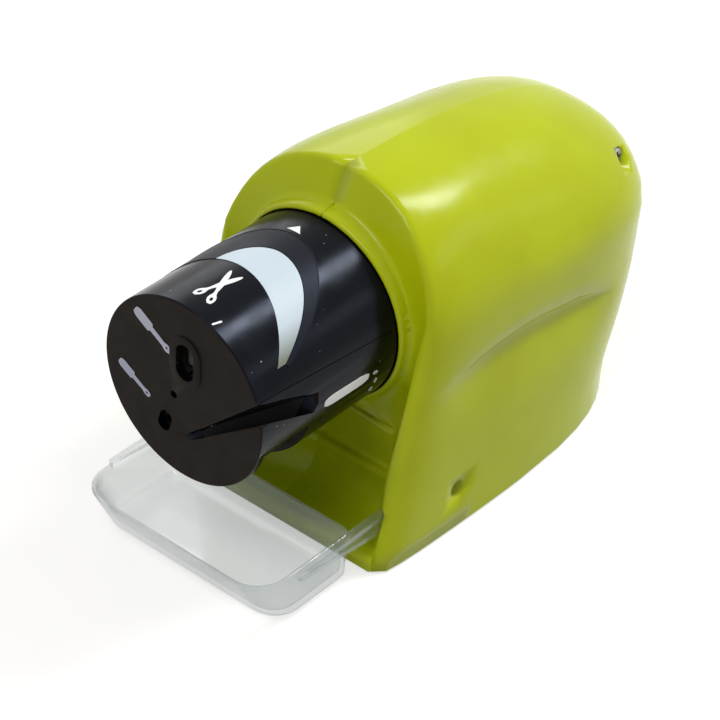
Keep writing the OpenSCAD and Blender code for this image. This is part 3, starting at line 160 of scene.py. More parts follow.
def metal(name, dark, light, roughness, streak, grain_mm, grain_depth_mm):
    """Metal with fine streaks across one direction, or an even grain where streak is all ones."""
    m, tree = new_material(name)
    place = add(tree, "ShaderNodeTexCoord").outputs["Object"]
    stretched = add(tree, "ShaderNodeMapping", {"Vector": place}, {"Scale": streak})
    cuts = add(tree, "ShaderNodeTexNoise", {"Vector": stretched.outputs["Vector"]},
               {"Scale": PER_M / grain_mm, "Detail": 3.0})
    colour = add(tree, "ShaderNodeMix", {"Factor": cuts.outputs["Fac"]},
                 {"A": linear(dark), "B": linear(light)}, data_type="RGBA")
    skin = surface(tree, cuts, cuts, roughness, grain_depth_mm)
    shader = add(tree, "ShaderNodeBsdfPrincipled", {"Base Color": colour.outputs["Result"], **skin},
                 {"Metallic": 1.0})
    add(tree, "ShaderNodeOutputMaterial", {"Surface": shader.outputs["BSDF"]})
    return m


def clear_polystyrene():
    """Clear polystyrene in a thin wall: see-through face on, milky grey where it turns away, and glossy."""
    m, tree = new_material("clear_polystyrene")
    place = add(tree, "ShaderNodeTexCoord").outputs["Object"]
    flow = add(tree, "ShaderNodeTexNoise", {"Vector": place}, {"Scale": PER_M / FLOW_MM, "Detail": 2.0})
    wear = add(tree, "ShaderNodeTexNoise", {"Vector": place}, {"Scale": PER_M / RUB_MM, "Detail": 3.0})
    skin = surface(tree, wear, flow, CLEAR_GLOSS, FLOW_DEPTH_MM)
    turned = add(tree, "ShaderNodeLayerWeight", {"Normal": skin["Normal"]}, {"Blend": 0.5})
    steep = add(tree, "ShaderNodeMath", {0: turned.outputs["Facing"]}, {1: MILK_N}, operation="POWER")
    milk = add(tree, "ShaderNodeMapRange", {"Value": steep.outputs[0]},
               {"To Min": MILK[0], "To Max": MILK[1]})
    passing = add(tree, "ShaderNodeBsdfTransparent", sets={"Color": linear("#FAFBFB")})
    body = add(tree, "ShaderNodeBsdfPrincipled", skin, {"Base Color": linear("#AEB8BC"), "IOR": PLASTIC_IOR})
    wall = add(tree, "ShaderNodeMixShader",
               {0: milk.outputs["Result"], 1: passing.outputs["BSDF"], 2: body.outputs["BSDF"]})
    gloss = add(tree, "ShaderNodeBsdfPrincipled", skin, {"Base Color": linear("#F4F7F8"), "Metallic": 1.0})
    grazing = add(tree, "ShaderNodeMath", {0: turned.outputs["Facing"]}, {1: MIRROR_N}, operation="POWER")
    mirror = add(tree, "ShaderNodeMapRange", {"Value": grazing.outputs[0]},
                 {"To Min": MIRROR[0], "To Max": MIRROR[1]})
    whole = add(tree, "ShaderNodeMixShader",
                {0: mirror.outputs["Result"], 1: wall.outputs["Shader"], 2: gloss.outputs["BSDF"]})
    add(tree, "ShaderNodeOutputMaterial", {"Surface": whole.outputs["Shader"]})
    return m


def crescent_print():
    """Pad print in bluish white, with painted shade that greys it towards its lower tip."""
    m, tree = new_material("bluish_pad_print_with_painted_shade")
    place = add(tree, "ShaderNodeTexCoord").outputs["Object"]
    height = add(tree, "ShaderNodeSeparateXYZ", {"Vector": place})
    # painted shade: the ink is greyed by height towards the lower tip
    painted_shade = add(tree, "ShaderNodeMapRange", {"Value": height.outputs["Z"]},
               {"From Min": PAINTED_SHADE_FROM * MM, "From Max": PAINTED_SHADE_TO * MM})
    ink = add(tree, "ShaderNodeTexNoise", {"Vector": place}, {"Scale": PER_M / INK_GRAIN_MM, "Detail": 2.0})
    colour = add(tree, "ShaderNodeMix", {"Factor": painted_shade.outputs["Result"]},
                 {"A": linear("#7E8474"), "B": linear("#CBD9E2")}, data_type="RGBA")
    skin = surface(tree, ink, ink, INK_GLOSS, INK_DEPTH_MM)
    shader = add(tree, "ShaderNodeBsdfPrincipled", {"Base Color": colour.outputs["Result"], **skin},
                 {"IOR": PLASTIC_IOR, "Specular IOR Level": 0.35})
    add(tree, "ShaderNodeOutputMaterial", {"Surface": shader.outputs["BSDF"]})
    return m


FINISHES = {
    # Polished ABS in lime: saturated colour with long soft highlights and a faint ripple of the tool
    "lime_abs": moulded("lime_gloss_abs", "#B3BE08", "#BAC70E", (0.17, 0.25), 1.6, 0.0015, 0.18),
    # The same ABS from a finer, duller tool: reads as satin beside the housing
    "lime_abs_base": moulded("lime_satin_abs", "#A6B012", "#AFBA18", (0.42, 0.52), 0.5, 0.01, 0.35),
    # Black ABS from a polished tool: near black with a soft streak and a few specks of dust; the blue tint of
    # its reflections is a painted reflection of a blue-grey room
    "black_abs": moulded("black_gloss_abs", "#060608", "#09090C", (0.17, 0.25), 1.2, 0.001,
                         0.15, 0.55, "#BFCDEC"),
    # Dark print: a blue-black, fine-grained band with a broad weak sheen; the blue tint of its reflections is
    # a painted reflection of a blue-grey room
    "dark_grey_print": moulded("dark_matte_band", "#0E1015", "#15171D", (0.42, 0.5), 0.4, 0.012,
                               0.2, 0.0, "#BFCDEC"),
    # White pad print: opaque ink with a slightly dry surface
    "white_print": moulded("white_pad_print", "#F0F2F4", "#F8F9FA", (0.42, 0.55), 0.3, 0.004),
    # Clear polystyrene: see-through walls that turn milky towards their edges
    "clear_tray": clear_polystyrene(),
    # Nylon from an eroded tool: dark, dry and evenly grained
    "dark_nylon": moulded("dark_nylon", "#101113", "#17181A", (0.45, 0.55), 0.4, 0.01, 0.2),
    # Natural acetal: milky white with a waxy sheen
    "natural_acetal": moulded("natural_acetal", "#DDDAD0", "#E8E6DE", (0.3, 0.4), 0.8, 0.004),
    # Red ABS of the rocker: a small glossy accent
    "red_rocker": moulded("red_gloss_abs", "#B02A20", "#C2392C", (0.2, 0.3), 0.9, 0.003),
    # Turned steel: fine rings round the axis
    "steel": metal("turned_steel", "#8E9296", "#B2B6BA", (0.2, 0.32), (1, 0.05, 1), 0.25, 0.002),
    # Zinc-plated steel: dull grey with a cloudy skin
    "zinc_steel": metal("zinc_plated_steel", "#7E8284", "#A2A5A6", (0.35, 0.5), (1, 1, 1), 0.6, 0.002),
    # Nickel plate: warm bright metal
    "nickel": metal("nickel_plate", "#B8B6AE", "#D4D2CA", (0.12, 0.22), (1, 1, 1), 0.8, 0.001),
    # Turned brass: yellow with fine rings
    "brass": metal("turned_brass", "#B58F3E", "#D0AA55", (0.2, 0.3), (1, 0.05, 1), 0.25, 0.002),
    # Ground ferrite: dark and granular
    "magnet": metal("ground_ferrite", "#2E3032", "#484A4C", (0.5, 0.65), (1, 1, 1), 0.4, 0.01),
    # Varnished copper wire: brown-red with ridges along the windings
    "copper_armature": metal("varnished_copper", "#7A3F20", "#A85E30", (0.3, 0.42), (1, 0.06, 1), 0.5, 0.03),
    # Bonded alumina, greyed by use: dry, rough grit, drawn a little coarse so that it shows
    "abrasive": moulded("bonded_alumina", "#6E6B63", "#807D74", (0.85, 0.95), 0.35, 0.08),
    # Black rubber: matte and slightly dusty
    "rubber": moulded("black_rubber", "#1A1B1B", "#262727", (0.75, 0.85), 0.5, 0.02),
    # Printed film round a cell: glossy gold-brown
    "cell_wrap": moulded("cell_wrap_film", "#8A6E1E", "#A68630", (0.2, 0.3), 2.0, 0.01),
    # Soft PVC of the red leads
    "lead_red": moulded("red_pvc", "#A81E18", "#BC2C22", (0.4, 0.5), 0.6, 0.005),
    # Soft PVC of the black lead
    "lead_black": moulded("black_pvc", "#121213", "#1D1D1F", (0.4, 0.5), 0.6, 0.005),
}
# The drum's face comes from an eroded part of the tool: brown-black and matte beside the glossy wall; the
# warm tint of its reflections is a painted reflection of a brown table
FACE_FINISH = moulded("black_satin_abs", "#120E0B", "#17120F", (0.5, 0.6), 0.45, 0.01, 0.1, 0.0, "#FFE6D6")
# Ink of the crescent: bluish white on top, with painted shade that greys it below
CRESCENT_FINISH = crescent_print()
# Pad print of the face signs: pale lilac grey
SIGN_FINISH = moulded("lilac_pad_print", "#ACAEC2", "#BCBDCE", (0.45, 0.55), 0.3, 0.004)

SLOT_OF = {p["node"]: p["material_slot"] for p in frame["record"]["subparts"]}
BODY_OF = {n: body for body, members in frame["record"]["behaviour"]["bodies"].items() for n in members}

for name, thing in frame["nodes"].items():
    thing.data.materials.clear()
    thing.data.materials.append(FINISHES[SLOT_OF[name]])


# Pieces that stand for CAD nodes
WELD, FORM_ANGLE, TOOL_ANGLE = 0.001, 28, 38


def mesh_copy(node):
    bm = bmesh.new()
    bm.from_mesh(frame["nodes"][node].data)
    bmesh.ops.remove_doubles(bm, verts=bm.verts, dist=WELD * MM)
    return bm


def make_piece(mesh, name, body, slot, nodes=(), finishes=()):
    """Makes a finished mesh a piece that rides on a body and may stand for CAD nodes."""
    for finish in finishes or [FINISHES[slot]]:
        mesh.materials.append(finish)
    piece = bpy.data.objects.new(name, mesh)
    bpy.context.scene.collection.objects.link(piece)
    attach(piece, body)
    if nodes:
        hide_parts(*nodes)
    return piece


def stand_in(bm, name, node, finishes=()):
    mesh = bpy.data.meshes.new(name)
    bm.to_mesh(mesh)
    bm.free()
    return make_piece(mesh, name, BODY_OF[node], SLOT_OF[node], [node], finishes)


def smooth_by_angle(mesh, degrees):
    mesh.polygons.foreach_set("use_smooth", [True] * len(mesh.polygons))
    mesh.set_sharp_from_angle(angle=math.radians(degrees))


def smooth_copy(node, name, degrees=FORM_ANGLE, finishes=()):
    piece = stand_in(mesh_copy(node), name, node, finishes)
    smooth_by_angle(piece.data, degrees)
    weighted = piece.modifiers.new("even_normals", "WEIGHTED_NORMAL")
    weighted.keep_sharp = True
    return piece


# Housing: the same curves as in the CAD model, u from front to back and b from foot to crown seam
HOUSING_W, HOUSING_H, ARCH_W, WAIST_W, SHOULDER_W, DOME_W = 88.5, 107.3, 80.6, 83.5, 84, 89.6
SPRING_H, BULGE_Y, BULGE_H, FOOT_Y, FOOT_H, CROWN_Y, TOE = 54, 120, 70, 108.5, 12, 10, 2
LEAN, GROOVE_D, RIM_ROUND, RECESS_Y, FOOT_GAP = 14.6, 3.2, 3.5, 5, 0.8
AXIS_H, OPENING_R = 65.4, 27.4
CLOSING, SHOULDER, EASE, FOOT_EASE = 0.376, 0.755, 0.12, 0.045
FOOT_ROUND, FRONT_FLARE, LEG_START = 0.55, 0.56, 0.66
SEAM_END_Y = CROWN_Y + (BULGE_Y - CROWN_Y) * 0.94
TOE_N, TOE_B, SWELL_N, PLAN_B, FLARE_U, DOME_U = 8, 0.2, 4, 0.5, 0.45, 0.5
LOW_B, HIGH_B, HIGH_SPAN = 0.3, 0.6, 0.25
RIDGE_B, RIDGE_RISE, RIDGE_RISE_U = 0.28, 0.03, 0.3
EDGE_B, EDGE_TOP_U, EDGE_FRONT_FALL, EDGE_REAR_FALL = 0.54, 0.42, 0.2, 0.5
GROOVE_N, GROOVE_TURN, GROOVE_RETURN = 1.4, 0.8, 0.2
GROOVE_IN_U, GROOVE_OUT_U, GROOVE_OUT_SPAN = 0.35, 0.68, 0.1
TOP_N, FRONT_DOME_N, REAR_DOME_N, LOW_PLAN_N, HIGH_PLAN_N = 2.2, 2.29, 1.85, 3.1, 4.1
TUCK_N, WAIST_N, SIDE_COVE_N, CROWN_COVE_N, BLEND, EDGE_LIFT = 2, 1.5, 1.6, 1.25, 1.2, 0.1
FOOT_ROW, LOW_ROW, RIDGE_ROW, EDGE_ROW, SHOULDER_ROW, ROWS = 2, 4, 5, 11, 16, 25
EASE_COLS, FLANK_COLS, COLS, EASE_N, FIRST_BEND = 3, 9, 20, 1.5, 0.1
COVE_TURN_N, CROWN_COVE_ROWS, SIDE_COVE_ROW, SIDE_COVE_ROWS = 4, 6, 6, 7
TINY, TINY_AREA = 1e-12, 1e-18
GROOVE_STOPS = [0, 0.2, 0.4, 0.6, 0.8, 0.9, 1]


def mix(a, b, t):
    return a + (b - a) * t


def clamp(t):
    return np.clip(t, 0, 1)


def smooth(t):
    c = clamp(t)
    return c * c * (3 - 2 * c)


def arc_ease(t):
    return np.sqrt(1 - (1 - clamp(t)) ** 2)


def quad(w, n):
    return np.maximum(0, 1 - clamp(w) ** n) ** (1 / n)


def soft_min(a, b):
    h = clamp(0.5 + 0.5 * (b - a) / BLEND)
    return mix(b, a, h) - BLEND * h * (1 - h)


def front_y(z):
    return (z - AXIS_H) * math.tan(math.radians(LEAN))


def seam_y(u):
    return mix(front_y(HOUSING_H), SEAM_END_Y, u)


def seam_z(u):
    return BULGE_H + (HOUSING_H - BULGE_H) * quad((seam_y(u) - CROWN_Y) / (BULGE_Y - CROWN_Y), TOP_N)


def rear_y(z):
    above = CROWN_Y + (BULGE_Y - CROWN_Y) * quad((z - BULGE_H) / (HOUSING_H - BULGE_H), TOP_N)
    below = mix(FOOT_Y, BULGE_Y, 1 - (1 - clamp((z - FOOT_H) / (BULGE_H - FOOT_H))) ** TUCK_N)
    return np.where(z > BULGE_H, above, below)


def side_y(u, b):
    swell = rear_y(b * seam_z(1.0)) - mix(FOOT_Y, SEAM_END_Y, b)
    toe = TOE * (1 - u) ** TOE_N * (1 - smooth(b / TOE_B))
    return mix(mix(front_y(0), FOOT_Y, u), seam_y(u), b) + u ** SWELL_N * swell - toe


def closing(u, b):
    return quad((u - CLOSING) / (1 - CLOSING), mix(LOW_PLAN_N, HIGH_PLAN_N, smooth(b / PLAN_B)))


def half_flank(u, b, z):
    flare = mix(FRONT_FLARE, 1, smooth(u / FLARE_U))
    low = mix(WAIST_W, HOUSING_W, flare * clamp((SPRING_H - z) / SPRING_H) ** WAIST_N)
    high = mix(WAIST_W, SHOULDER_W, (z - SPRING_H) / (BULGE_H - SPRING_H))
    middle = np.where(z < SPRING_H, low, high)
    rounding = RIM_ROUND * mix(FOOT_ROUND, 1, smooth(b / LOW_B)) * (1 - smooth((b - HIGH_B) / HIGH_SPAN))
    ease = mix(FOOT_EASE, EASE, smooth(b / LOW_B))
    return mix(ARCH_W / 2 + EDGE_LIFT - rounding, middle / 2, arc_ease(u / ease))


def half_dome(u, z, top):
    half = mix(ARCH_W, DOME_W, arc_ease(u / DOME_U)) / 2
    n = mix(FRONT_DOME_N, REAR_DOME_N, smooth(u / DOME_U))
    return half * quad((z - SPRING_H) / (top - SPRING_H), n)


def ridge_share(u):
    return RIDGE_B + RIDGE_RISE * clamp(u / RIDGE_RISE_U)


def edge_share(u):
    fall = np.where(u < EDGE_TOP_U, EDGE_FRONT_FALL, EDGE_REAR_FALL)
    return EDGE_B - fall * (u - EDGE_TOP_U) ** 2


def groove(u, b):
    t = (b - ridge_share(u)) / (edge_share(u) - ridge_share(u))
    deepening = clamp(t / GROOVE_TURN) ** GROOVE_N
    form = np.where(t < GROOVE_TURN, deepening, 1 - smooth((t - GROOVE_TURN) / GROOVE_RETURN))
    reach = smooth(u / GROOVE_IN_U) * (1 - smooth((u - GROOVE_OUT_U) / GROOVE_OUT_SPAN))
    return np.where((t <= 0) | (t >= 1), 0, GROOVE_D * reach * form)


def skin(u, b):
    """Places on the right flank, in millimetres."""
    u, b = np.broadcast_arrays(np.asarray(u, float), np.asarray(b, float))
    top = seam_z(u)
    z = b * top
    x = closing(u, b) * (soft_min(half_dome(u, z, top), half_flank(u, b, z)) - groove(u, b))
    x = np.where((b >= 1) | (u >= 1), 0, np.maximum(0, x))
    return np.stack([x, side_y(u, b), z], -1)


def row_share(k, u):
    """Share of the height of row k, which may be between two rows."""
    k = np.asarray(k, float)
    top = seam_z(u)
    foot, ridge, edge = FOOT_H / top, ridge_share(u), edge_share(u)
    stop = np.interp(k - RIDGE_ROW, range(len(GROOVE_STOPS)), GROOVE_STOPS)
    turn = 90 * clamp((k - SHOULDER_ROW) / (ROWS - SHOULDER_ROW))
    crown = mix(SHOULDER, 1, np.sin(np.radians(turn)))
    flank = mix(edge, SHOULDER, (k - EDGE_ROW) / (SHOULDER_ROW - EDGE_ROW))
    share = np.where(k <= SHOULDER_ROW, flank, crown)
    share = np.where(k <= EDGE_ROW, mix(ridge, edge, stop), share)
    share = np.where(k <= RIDGE_ROW, mix(foot, ridge, (k - FOOT_ROW) / (RIDGE_ROW - FOOT_ROW)), share)
    return np.where(k <= FOOT_ROW, mix(FOOT_GAP / top, foot, k / FOOT_ROW), share)


def col_share(i):
    """Share of the length of column i, which may be between two columns."""
    i = np.asarray(i, float)
    start = math.asin((FIRST_BEND / (1 - CLOSING)) ** (HIGH_PLAN_N / 2))
    turn = mix(start, math.pi / 2, clamp((i - FLANK_COLS) / (COLS - FLANK_COLS)))
    back = CLOSING + (1 - CLOSING) * np.sin(turn) ** (2 / HIGH_PLAN_N)
    middle = mix(EASE, CLOSING + FIRST_BEND, (i - EASE_COLS) / (FLANK_COLS - EASE_COLS))
    share = np.where(i <= FLANK_COLS, middle, back)
    share = np.where(i <= EASE_COLS, EASE * clamp(i / EASE_COLS) ** EASE_N, share)
    return np.where(i >= COLS, 1, share)


def cove(v, k):
    """Places on the recessed front, from the collar at v = 0 to the rim at v = 1."""
    rim = skin(0.0, row_share(k, 0.0))
    low = skin(0.0, row_share(LOW_ROW, 0.0))
    angle = np.arctan2(rim[..., 0], rim[..., 2] - AXIS_H)
    low_angle = math.atan2(low[0], low[2] - AXIS_H)
    around = angle + (math.pi - low_angle) * (angle / low_angle) ** COVE_TURN_N
    around = np.where(k >= ROWS, 0, around)
    leg = k <= LOW_ROW
    leg_z = mix(FOOT_GAP, AXIS_H - OPENING_R, k / LOW_ROW)
    x = np.where(leg, 0, OPENING_R * np.sin(around))
    z = np.where(leg, leg_z, AXIS_H + OPENING_R * np.cos(around))
    inner = np.stack([x, np.full_like(x, RECESS_Y), z], -1)
    side_sweep = v ** mix(SIDE_COVE_N, CROWN_COVE_N, smooth((k - SHOULDER_ROW) / CROWN_COVE_ROWS))
    leg_sweep = smooth((v - LEG_START) / (1 - LEG_START))
    forward = mix(leg_sweep, side_sweep, smooth((k - SIDE_COVE_ROW) / SIDE_COVE_ROWS))
    return np.stack([mix(inner[..., j], rim[..., j], t) for j, t in enumerate((v, forward, v))], -1)


class Sheet:
    """A fine grid on an exact surface, for the nearest place on it and the normal there."""

    def __init__(self, grid, outward):
        along = np.gradient(grid, axis=0)
        up = np.gradient(grid, axis=1)
        normals = np.cross(along, up) * outward
        length = np.linalg.norm(normals, axis=-1, keepdims=True)
        self.normals = (normals / np.maximum(length, TINY)).reshape(-1, 3)
        self.points = grid.reshape(-1, 3)
        rows = grid.shape[1]
        a = (np.arange(grid.shape[0] - 1)[:, None] * rows + np.arange(rows - 1)).ravel()
        halves = [np.stack([a, a + 1, a + rows + 1], -1), np.stack([a, a + rows + 1, a + rows], -1)]
        self.faces = np.concatenate(halves)
        self.tree = BVHTree.FromPolygons(self.points.tolist(), self.faces.tolist())

    def nearest(self, place):
        """Nearest place, its normal and how far it is."""
        spot, _, face, far = self.tree.find_nearest(Vector(place))
        corners = self.faces[face]
        a, b, c = self.points[corners]
        ab, ac, ap = b - a, c - a, np.array(spot) - a
        d00, d01, d11, d20, d21 = ab @ ab, ab @ ac, ac @ ac, ap @ ab, ap @ ac
        bottom = d00 * d11 - d01 * d01
        if bottom < TINY_AREA:
            return np.array(spot), self.normals[corners[0]], far
        v = (d11 * d20 - d01 * d21) / bottom
        w = (d00 * d21 - d01 * d20) / bottom
        n0, n1, n2 = self.normals[corners]
        n = n0 * (1 - v - w) + n1 * v + n2 * w
        return np.array(spot), n / max(np.linalg.norm(n), TINY), far


def nearest_on_line(line, place):
    a, b = line[:-1], line[1:]
    d = b - a
    t = clamp(((place - a) * d).sum(-1) / np.maximum((d * d).sum(-1), TINY))
    spots = a + t[:, None] * d
    return spots[np.argmin(((spots - place) ** 2).sum(-1))]


# The curves as fine sheets, and the numbers of the zones that the faces of a half belong to
FINE, COVE_STEPS = 8, 6
fine_rows = np.linspace(0, ROWS, ROWS * FINE + 1)
fine_cols = np.linspace(0, COLS, COLS * FINE + 1)
flank_grid = np.stack([skin(u, row_share(fine_rows, u)) for u in col_share(fine_cols)])
cove_grid = np.stack([cove(v, fine_rows) for v in np.linspace(0, 1, COVE_STEPS * FINE + 1)])
FLANK_SHEET = Sheet(flank_grid, -1)
COVE_SHEET = Sheet(cove_grid, -1)
RIM_LINE = flank_grid[0]
SEAM_LINE = np.concatenate([flank_grid[:, -1], flank_grid[-1, ::-1]])
FLANK, COVE, SEAM, LIP = 1, 2, 3, 4
SEAM_EASE, SEAM_SLIT, SEAM_DEPTH, SEAM_DIP = 0.42, 0.2, 0.9, 0.12
LIP_Y, LIP_R0, LIP_R1 = 5.5, 29.45, 31.6
LEVEL, TOUCH, CLOSE, SILL_BACK = 1e-4, 1e-3, 0.01, 0.3
ZONE_REACH, ZONE_FACING, SNAP_REACH, LONG_EDGE, EDGE_CUTS = 0.9, 0.8, 1.2, 1.2, 3


def zone_of(face):
    """Which exact surface a face of the CAD mesh lies on, if any."""
    centre = face.calc_center_median()
    on_sill = abs(face.normal.x) < LEVEL and centre.y < RECESS_Y - SILL_BACK
    for number, sheet in ((FLANK, FLANK_SHEET), (COVE, COVE_SHEET)):
        _, normal, far = sheet.nearest(centre)
        alike = far < ZONE_REACH and face.normal.dot(Vector(normal)) > ZONE_FACING
        if alike and not (number == COVE and on_sill):
            return number
    reach = math.hypot(centre.x, centre.z - AXIS_H)
    return LIP if LIP_R0 < reach < LIP_R1 and centre.y < LIP_Y else 0


def snap_to_curves(bm, zone):
    """Moves the outside onto the exact curves, where all faces round a corner belong to them."""
    for v in bm.verts:
        zones = {f[zone] for f in v.link_faces} & {FLANK, COVE}
        place = np.array(v.co)
        if not zones or abs(place[2] - FOOT_GAP) < TOUCH:
            continue
        if abs(place[0]) < TOUCH and FLANK in zones:
            v.co = nearest_on_line(SEAM_LINE, place)
        elif any(f[zone] not in zones for f in v.link_faces):
            continue
        elif len(zones) > 1:
            v.co = nearest_on_line(RIM_LINE, place)
        else:
            spot, _, far = (FLANK_SHEET if FLANK in zones else COVE_SHEET).nearest(place)
            if far < SNAP_REACH:
                v.co = spot


def cut_seam(bm, zone):
    """A narrow slit with eased edges along the plane where the halves meet."""
    for x in (SEAM_EASE, SEAM_SLIT):
        faces = [f for f in bm.faces if f[zone] and min(v.co.x for v in f.verts) < x]
        parts = faces + list({e for f in faces for e in f.edges}) + list({v for f in faces for v in f.verts})
        bmesh.ops.bisect_plane(bm, geom=parts, plane_co=(x, 0, 0), plane_no=(1, 0, 0))
    bm.normal_update()
    for f in bm.faces:
        if f[zone] and max(v.co.x for v in f.verts) < SEAM_EASE + CLOSE:
            f[zone] = SEAM
    moves = {}
    for v in bm.verts:
        if v.co.x < SEAM_SLIT + CLOSE and any(f[zone] == SEAM for f in v.link_faces):
            inward = -Vector((0, v.normal.y, v.normal.z)).normalized()
            moves[v] = inward * (SEAM_DEPTH if v.co.x < CLOSE else SEAM_DIP)
    for v, move in moves.items():
        v.co += move


def exact_normals(bm, zone, side):
    """One normal for each corner: from the curves on the outside, and left to the shading elsewhere."""
    sheets = {FLANK: FLANK_SHEET, COVE: COVE_SHEET}
    known, normals = {}, []
    for f in bm.faces:
        for v in f.verts:
            if f[zone] not in sheets:
                normals.append((0, 0, 0))
                continue
            if v.index not in known:
                zones = sorted({g[zone] for g in v.link_faces} & set(sheets))
                n = sum(sheets[number].nearest(v.co)[1] for number in zones)
                known[v.index] = n / np.linalg.norm(n)
            n = known[v.index]
            normals.append((n[0] * side, n[1], n[2]))
    return normals


def housing_half(node, name, side):
    """A copy of one half whose outside follows the exact curves, with the parting line as a fine slit."""
    bm = mesh_copy(node)
    for v in bm.verts:
        v.co = Vector((v.co.x * side, v.co.y, v.co.z)) / MM
    if side < 0:
        bmesh.ops.reverse_faces(bm, faces=bm.faces)
    bm.normal_update()
    zone = bm.faces.layers.int.new("zone")
    for f in bm.faces:
        f[zone] = zone_of(f)
    outside = [f for f in bm.faces if f[zone] in (FLANK, COVE)]
    edges = {e for f in outside for e in f.edges if e.calc_length() > LONG_EDGE}
    bmesh.ops.subdivide_edges(bm, edges=list(edges), cuts=EDGE_CUTS, use_grid_fill=True)
    bmesh.ops.triangulate(bm, faces=[f for f in bm.faces if len(f.verts) > 3])
    snap_to_curves(bm, zone)
    cut_seam(bm, zone)
    bmesh.ops.triangulate(bm, faces=[f for f in bm.faces if len(f.verts) > 3])
    if side < 0:
        bmesh.ops.reverse_faces(bm, faces=bm.faces)
    bm.verts.index_update()
    normals = exact_normals(bm, zone, side)
    for v in bm.verts:
        v.co = Vector((v.co.x * side, v.co.y, v.co.z)) * MM
    piece = stand_in(bm, name, node)
    smooth_by_angle(piece.data, TOOL_ANGLE)
    piece.data.normals_split_custom_set(normals)
    return piece


housing_half("housing_right", "housing_right_skin", 1)
housing_half("housing_left", "housing_left_skin", -1)


# Pieces that keep the CAD form and get even shading
for node in ("head_neck", "knife_guide", "driver_guide", "grinding_wheel", "hub_nut", "wheel_hub", "spindle",
             "motor_can", "base_plate", "switch_body", "switch_rocker", "rubber_feet", "battery_door"):
    smooth_copy(node, node + "_piece")

# Drum: glossy wall and matte face
DRUM_R, FACE_Y, FACE_TURN = 29, -54.7, -0.9


def drum():
    piece = smooth_copy("head_barrel", "drum_shell", TOOL_ANGLE, [FINISHES["black_abs"], FACE_FINISH])
    for polygon in piece.data.polygons:
        if polygon.normal.y < FACE_TURN:
            polygon.material_index = 1


drum()

# Prints: thin ink on the drum, a little off its wall
INK, INK_GAP, FACE_INK_GAP, LINE_STEP = 0.12, 0.05, 0.02, 1.0
SIGNS, CRESCENT, FACE_SIGNS = 0, 1, 2


def on_drum(across, y, lift):
    """Across is the way round the drum from its top, in millimetres."""
    r = DRUM_R + INK_GAP + lift
    return Vector((r * math.sin(across / DRUM_R), y, AXIS_H + r * math.cos(across / DRUM_R))) * MM


def on_face(x, z, lift):
    return Vector((x, FACE_Y - FACE_INK_GAP - lift, z)) * MM


def round_way(degrees):
    return math.radians(degrees) * DRUM_R


def leaf(start, end, stations, count=40):
    """Outline of a flat shape from start to end, from its half widths at shares of the length."""
    a, b = np.array(start), np.array(end)
    along = (b - a) / np.linalg.norm(b - a)
    aside = np.array([-along[1], along[0]])
    shares = np.linspace(0, 1, count)
    widths = np.interp(shares, [s for s, _ in stations], [w for _, w in stations])
    widths = np.convolve(np.pad(widths, 1, mode="edge"), [0.25, 0.5, 0.25], mode="valid")
    left = [a + (b - a) * s + aside * w for s, w in zip(shares, widths)]
    right = [a + (b - a) * s - aside * w for s, w in zip(shares, widths)]
    return left + right[::-1]


def oval(centre, towards, long_r, short_r, count=18):
    turn = math.atan2(towards[1] - centre[1], towards[0] - centre[0])
    c, s = math.cos(turn), math.sin(turn)
    places = []
    for i in range(count):
        a = 2 * math.pi * i / count
        p, q = long_r * math.cos(a), short_r * math.sin(a)
        places.append((centre[0] + p * c - q * s, centre[1] + p * s + q * c))
    return places


def print_sign(bm, outline, holes, place, slot):
    """Fills an outline, gives it the ink's thickness and lays it on the drum or its face."""
    flat = bmesh.new()
    for ring in [outline, *holes]:
        corners = [flat.verts.new((x, y, 0)) for x, y in ring]
        for a, b in zip(corners, corners[1:] + corners[:1]):
            flat.edges.new((a, b))
    bmesh.ops.triangle_fill(flat, use_beauty=True, use_dissolve=False, edges=flat.edges[:])
    low, high = min(v.co.x for v in flat.verts), max(v.co.x for v in flat.verts)
    for x in np.arange(low + LINE_STEP, high, LINE_STEP):
        everything = flat.verts[:] + flat.edges[:] + flat.faces[:]
        bmesh.ops.bisect_plane(flat, geom=everything, plane_co=(x, 0, 0), plane_no=(1, 0, 0))
    bmesh.ops.triangulate(flat, faces=flat.faces[:])
    raised = bmesh.ops.extrude_face_region(flat, geom=flat.faces[:], use_keep_orig=True)
    for part in raised["geom"]:
        if isinstance(part, bmesh.types.BMVert):
            part.co.z = INK
    for v in flat.verts:
        v.co = place(v.co.x, v.co.y, v.co.z)
    for f in flat.faces:
        f.material_index = slot
    bmesh.ops.recalc_face_normals(flat, faces=flat.faces[:])
    part = bpy.data.meshes.new("sign_part")
    flat.to_mesh(part)
    flat.free()
    bm.from_mesh(part)
    bpy.data.meshes.remove(part)


def drum_patch(bm, turns, rear, front, lift, slot=0):
    """A thin patch between two lines on the drum, each a distance from the collar at every turn."""
    rows = []
    for t, y0, y1 in zip(turns, rear, front):
        corners = ((y0, 0), (y1, 0), (y1, INK), (y0, INK))
        rows.append([bm.verts.new(on_drum(round_way(t), y, lift + h)) for y, h in corners])
    faces = [bm.faces.new(rows[0]), bm.faces.new(rows[-1][::-1])]
    for a, b in zip(rows, rows[1:]):
        for j in range(4):
            faces.append(bm.faces.new([a[j], a[(j + 1) % 4], b[(j + 1) % 4], b[j]]))
    for f in faces:
        f.material_index = slot
    bmesh.ops.recalc_face_normals(bm, faces=faces)


